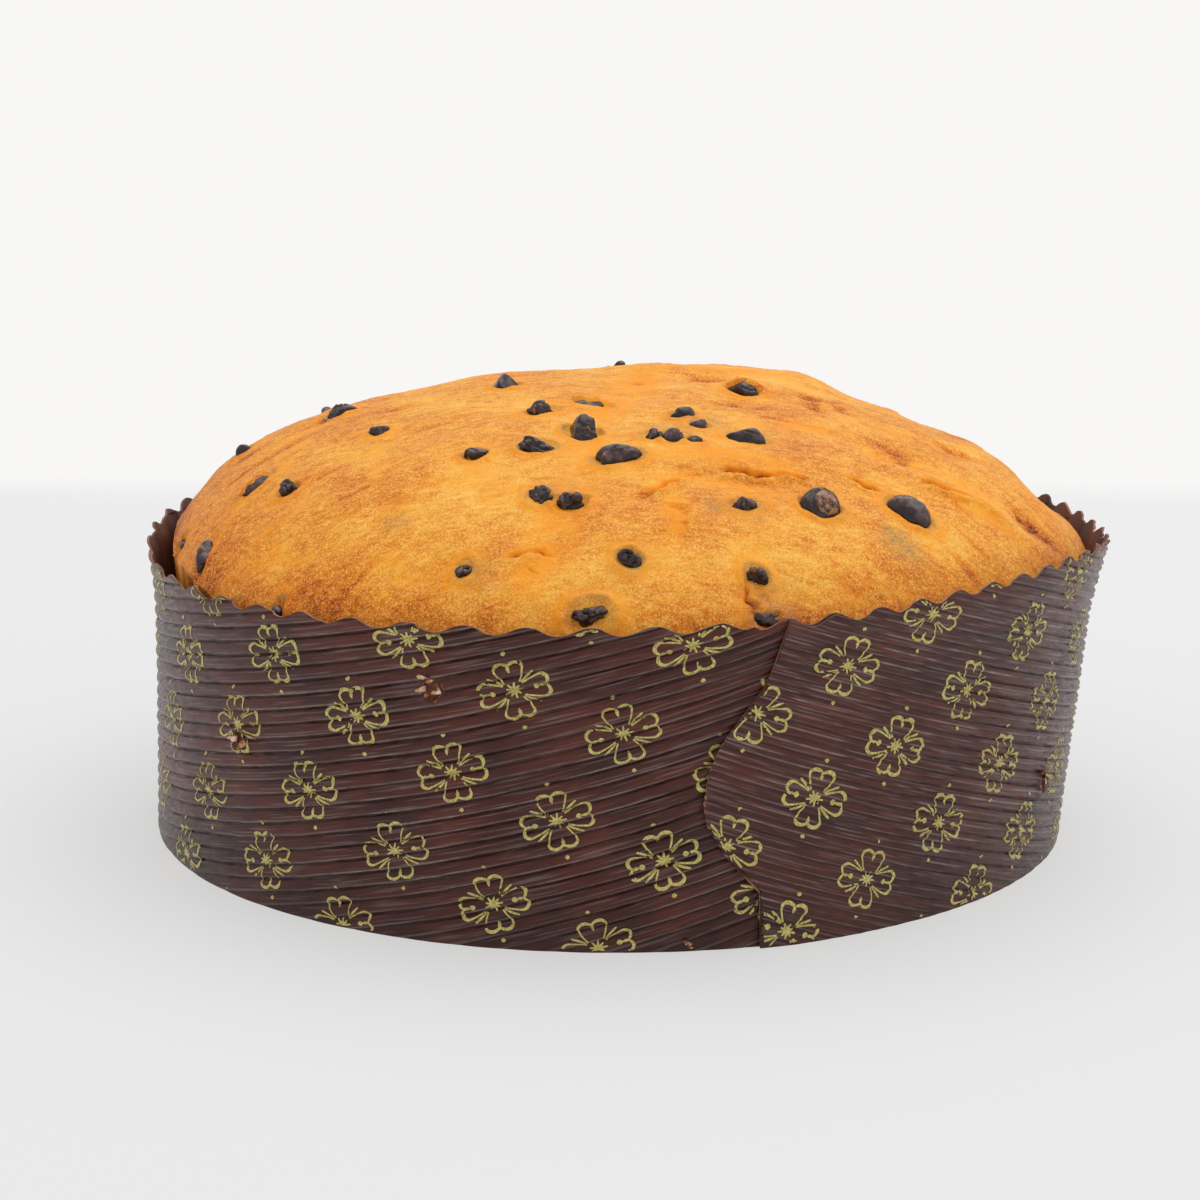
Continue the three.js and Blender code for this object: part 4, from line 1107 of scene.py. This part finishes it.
def bread_body():
    """The loaf as one closed skin: dome, shoulder and the side and foot that the case hides."""
    turns = np.linspace(0, 2 * np.pi, 4096)
    # Columns stand closer together at the front
    run = turns + FRONT_FINER * np.sin(turns)
    angles = np.interp(np.arange(BREAD_COLUMNS) / BREAD_COLUMNS * 2 * np.pi, run, turns)
    k = np.arange(1, DOME_RINGS + 1)[:, None]
    turned = (np.degrees(angles) - SHRUNK_AT + 180) % 360 - 180
    shrunk = SHRUNK_DEPTH * np.exp(-(turned / SHRUNK_SPREAD) ** 2)
    share = np.sin(np.pi / 2 * k / DOME_RINGS)
    radius = DOME_EDGE * DOME_RADIUS * share - shrunk * share ** 6
    x = DOME_SHIFT + radius * np.sin(angles)
    y = -radius * np.cos(angles)
    z = crust_height(x, y)
    slope_x, slope_y = crust_slope(x, y, 0.5)
    normal = np.stack([-slope_x, -slope_y, np.ones_like(x)], -1)
    normal /= np.linalg.norm(normal, axis=-1, keepdims=True)
    relief, browning_and_painted_light, stretched, stain = crust_relief(x, y, z)
    relief = relief * (1 - 0.8 * ramp(0.975, 1.0, k / DOME_RINGS))
    dome = np.stack([x, y, z], -1) + normal * relief[..., None]
    below = []
    for height, inset, pull in SIDE_RINGS:
        inside = wall_radius(height) - WALL_THICKNESS - SIDE_GAP - inset - pull * shrunk
        shift = RIM_SHIFT * height / RIM_HEIGHT
        below.append(np.stack([
            shift + inside * np.sin(angles),
            -inside * np.cos(angles),
            np.minimum(height, dome[-1, :, 2] - 0.2),
        ], -1))
    rings = np.concatenate([dome, below])
    points = np.concatenate([
        rings.reshape(-1, 3), [[DOME_SHIFT, 0, float(dome[0, :, 2].mean())], [0, 0, FOOT_HEIGHT]],
    ])
    index = np.arange(rings[..., 0].size).reshape(rings.shape[:2])
    index = np.concatenate([index, index[:, :1]], 1)
    apex, base = len(points) - 2, len(points) - 1
    caps = [
        np.stack([np.full(BREAD_COLUMNS, apex), index[0, :-1], index[0, 1:]], -1),
        np.stack([np.full(BREAD_COLUMNS, base), index[-1, 1:], index[-1, :-1]], -1),
    ]
    triangles = np.concatenate([grid_triangles(index)[:, ::-1], *caps])
    made = body_from("bread_crust", points, triangles, [baked_crust()])
    looks = (("browning_and_painted_light", browning_and_painted_light, SIDE_BROWNING), ("stretched", stretched, 0), ("stain", stain, 0))
    for name, values, beneath in looks:
        store(made, name, np.concatenate([values.ravel(), np.full(len(points) - values.size, beneath)]))
    return made


bread = bread_body()
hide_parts("bread")
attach(bread, "root")


# Chocolate drops
# Baking drops of dark chocolate, 4 to 10 mm, stirred into the dough. Those that reached the skin
# dried, cracked and greyed in the oven, with crust clinging to them; two kept their whole form.
DROP_SINK = 0.9             # how far the widest part lies below the crust
DROP_SIDES, DROP_LEVELS = 48, 30
DROP_SEED = 900
DROP_LUMPS = {"r": 0.1, "f": 0.05}          # of a crumbled and a broken drop, others the plain share
PLAIN_LUMPS = 0.03
FLAT_END, FLAT_EDGE = (0.35, -0.45, 0.82), 0.65     # where the whole drop's flat end faces, and its ring
TIP_END, TIP_STRIP = (-0.55, 0.45, 0.7), 0.78       # and the smooth one's, with a strip of crust


def dark_chocolate():
    """Dark chocolate after baking: nearly black brown, satin, greyed and dulled where it bloomed and paler
    on its upper faces also as painted light from above, tan where crust still clings to it, and nearly
    black in its clefts as painted shade."""
    material, tree = new_material("dark_chocolate")
    place = add(tree, "TexCoord")["Object"]
    bloom_and_top_light = add(tree, "Attribute", attribute_name="bloom_and_top_light")["Fac"]
    cling = add(tree, "Attribute", attribute_name="cling")["Fac"]
    crevice_shade = add(tree, "Attribute", attribute_name="crevice_shade")["Fac"]
    # Dull patches 1.8 mm across, and crystals drawn 0.35 mm wide so that they show
    cloud = add(tree, "TexNoise", {"Vector": place, "Scale": 1000 / 1.8, "Detail": 4})[0]
    grain = add(tree, "TexNoise", {"Vector": place, "Scale": 1000 / 0.35, "Detail": 2})[0]
    grey = add(tree, "Math", {0: cloud, 1: 2.0, 2: -1.0}, operation="MULTIPLY_ADD")[0]
    # Upper faces turn greyer: partly where the chocolate bloomed, partly painted light from above
    grey = add(tree, "Math", {0: grey, 1: bloom_and_top_light}, operation="ADD", use_clamp=True)[0]
    brown = add(tree, "ValToRGB", {0: grey}, stops=[
        (0.1, "#1c0d0a"), (0.9, "#685254"), (0.45, "#301d1c"),
    ])[0]
    crumb = add(tree, "ValToRGB", {0: cloud}, stops=[(0.4, "#8a5a30"), (0.6, "#b98552")])[0]
    patchy = add(tree, "Math", {0: grain, 1: 1.2, 2: cling}, operation="MULTIPLY_ADD")[0]
    patchy = add(tree, "MapRange", {"Value": patchy, "From Min": 1.0, "From Max": 1.3})[0]
    clad = add(tree, "Mix", {0: patchy, 6: brown, 7: crumb}, data_type="RGBA")[2]
    # Painted shade, nearly black, in the clefts and grooves
    colour = add(tree, "Mix", {0: crevice_shade, 6: clad, 7: srgb("#170b09")}, data_type="RGBA")[2]
    gloss = add(tree, "MapRange", {"Value": grey, "To Min": 0.14, "To Max": 0.34})[0]
    heights = add(tree, "Math", {0: cloud, 1: grain}, operation="ADD")[0]
    bump = add(tree, "Bump", {"Strength": 0.5, "Distance": 0.1 * MM, "Height": heights})[0]
    chocolate = add(tree, "BsdfPrincipled", {
        "Base Color": colour, "Roughness": gloss, "IOR": 1.5, "Normal": bump,
    })[0]
    add(tree, "OutputMaterial", {0: chocolate})
    return material


def broken(ball, draw, planes, near, far, sharp):
    """A ball cut by planes placed by chance: flat breaks that meet in softened edges."""
    facing = draw.normal(size=(planes, 3))
    facing /= np.linalg.norm(facing, axis=1, keepdims=True)
    reach = np.clip(ball @ facing.T, 0, None) / draw.uniform(near, far, planes)
    return ball * (1 + (reach ** sharp).sum(1)[:, None]) ** (-1 / sharp)


def drop_form(ball, size, kind, draw):
    """How a drop of one kind fared: its shape as a share of its size, where crust clings, and
    where painted shade darkens its clefts and grooves."""
    seed = int(draw.integers(1000))
    cling, crevice_shade = np.zeros(len(ball)), np.zeros(len(ball))
    spot = ball * size
    turn = np.arctan2(ball[:, 1], ball[:, 0])
    if kind in "wo":
        form = ball.copy()
        form[:, 2] *= 1 - 0.1 * (ball[:, 2] > 0)
        # The flat end of the drop, ringed by a groove, shows toward the front on the whole one
        aim = np.array(FLAT_END if kind == "w" else TIP_END)
        facing = ball @ aim / np.linalg.norm(aim)
        if kind == "w":
            flat = ramp(0.68, 0.74, facing)
            form *= (1 - 0.1 * flat - 0.14 * np.exp(-((facing - FLAT_EDGE) / 0.035) ** 2))[:, None]
            cling = flat * np.clip(0.55 + 0.5 * noise(spot, 1.3, seed), 0, 1)
            # Painted shade in the groove round the flat end, on one side of the drop
            crevice_shade = 0.8 * np.exp(-((facing - 0.63) / 0.03) ** 2) * ramp(0, -0.5, ball[:, 0])
        else:
            cling = np.exp(-((facing - TIP_STRIP) / 0.05) ** 2) * ramp(-0.5, 0.3, noise(spot, 2.4, seed))
            form *= (1 - 0.05 * cling)[:, None]
    elif kind == "f":
        form = broken(ball, draw, 6, 0.5, 0.75, 24)
        form[:, :2] += ball[:, 2:] * (-0.16, -0.1)
    elif kind == "r":
        form = broken(ball, draw, 11, 0.5, 0.95, 20)
        cleft = np.exp(-(noise(spot, 3, seed) / 0.12) ** 2)
        cleft = np.maximum(cleft, ramp(0.3, 0.6, noise(spot, 2, seed + 5)))
        form *= (1 - 0.3 * cleft)[:, None]
        # Painted shade down in the clefts
        crevice_shade = 0.8 * cleft
    else:
        form = broken(ball, draw, 8, 0.62, 0.92, 12)
        outline = 1 + 0.1 * np.cos(2 * turn + draw.uniform(0, 6))
        outline = outline + 0.09 * np.cos(3 * turn + draw.uniform(0, 6))
        form[:, :2] *= outline[:, None]
        cleft = np.exp(-(noise(spot, 4, seed) / 0.06) ** 2)
        form *= (1 - 0.14 * cleft)[:, None]
        # Painted shade down in the clefts
        crevice_shade = 0.4 * cleft
        form[:, 0] += draw.uniform(-0.2, 0.2) * ball[:, 2]
        if kind == "c":
            tail = ramp(-0.3, 1, ball[:, 0])
            form[:, 0] += 0.25 * tail
            form[:, 1] *= 1 - 0.6 * tail
            form[:, 2] *= 1 - 0.35 * tail
        if kind == "h":
            form[:, 2] *= 0.85
            cling = 0.6 * ramp(-0.2, 0.5, ball[:, 1])
    lumps = DROP_LUMPS.get(kind, PLAIN_LUMPS)
    form *= (1 + lumps * noise(spot, 1.5, seed + 1) + 0.4 * lumps * noise(spot, 0.7, seed + 2))[:, None]
    # Crust also clings round the foot, and in rare scabs
    scab = ramp(0.35, 0.6, noise(spot, 2.2, seed + 3))
    foot = ramp(0.3, 0.02, ball[:, 2] * (size[2] / 3) + 0.12 * noise(spot, 1.4, seed + 4))
    cling = np.maximum(cling, np.maximum(0.5 * foot, 0.6 * scab * (kind not in "wo")))
    return form, cling, crevice_shade


def drop_body(number, drop):
    """One drop, set into the slope of the crust."""
    x, y, length, width, turned, stand, kind = drop
    slope_x, slope_y = crust_slope(x, y, 2)
    normal = Vector((-slope_x, -slope_y, 1)).normalized()
    lean = np.array(Vector((0, 0, 1)).rotation_difference(normal).to_matrix())
    polar = np.linspace(0, np.pi, DROP_LEVELS)[1:-1, None]
    around = np.linspace(0, 2 * np.pi, DROP_SIDES, endpoint=False)[None]
    ring = np.sin(polar)
    ball = np.stack([ring * np.cos(around), ring * np.sin(around), np.cos(polar) + 0 * around], -1)
    ball = np.concatenate([[[0, 0, 1.0]], ball.reshape(-1, 3), [[0, 0, -1.0]]])
    size = np.array([length / 2, width / 2, stand + DROP_SINK])
    draw = np.random.default_rng(DROP_SEED + number)
    form, cling, crevice_shade = drop_form(ball, size, kind, draw)
    c, s = math.cos(turned * DEG), math.sin(turned * DEG)
    spin = np.array([[c, -s, 0], [s, c, 0], [0, 0, 1]])
    middle = np.array([x, y, float(crust_height(x, y))]) - np.array(normal) * DROP_SINK
    points = (form * size) @ spin.T @ lean.T + middle
    body = 1 + np.arange((DROP_LEVELS - 2) * DROP_SIDES).reshape(DROP_LEVELS - 2, DROP_SIDES)
    body = np.concatenate([body, body[:, :1]], 1)
    last = len(points) - 1
    triangles = np.concatenate([
        grid_triangles(body)[:, ::-1],
        np.stack([np.zeros(DROP_SIDES, int), body[0, :-1], body[0, 1:]], -1),
        np.stack([np.full(DROP_SIDES, last), body[-1, 1:], body[-1, :-1]], -1),
    ])
    # Bloomed faces turn grey and dull, on some drops more than on others; the upper faces are paler
    # also as painted light from above
    bloom_and_top_light = 0.12 + 0.5 * ramp(0.1, 0.9, ball[:, 2]) * draw.uniform(0.6, 1.2)
    return (points, triangles), np.stack([bloom_and_top_light, cling, crevice_shade])


drop_bodies, drop_looks = zip(*(drop_body(number, drop) for number, drop in enumerate(DROPS)))
drops = body_from("chocolate_drops", *joined(drop_bodies), [dark_chocolate()])
for name, values in zip(("bloom_and_top_light", "cling", "crevice_shade"), np.concatenate(drop_looks, axis=1)):
    store(drops, name, values)
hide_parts("bread")
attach(drops, "root")
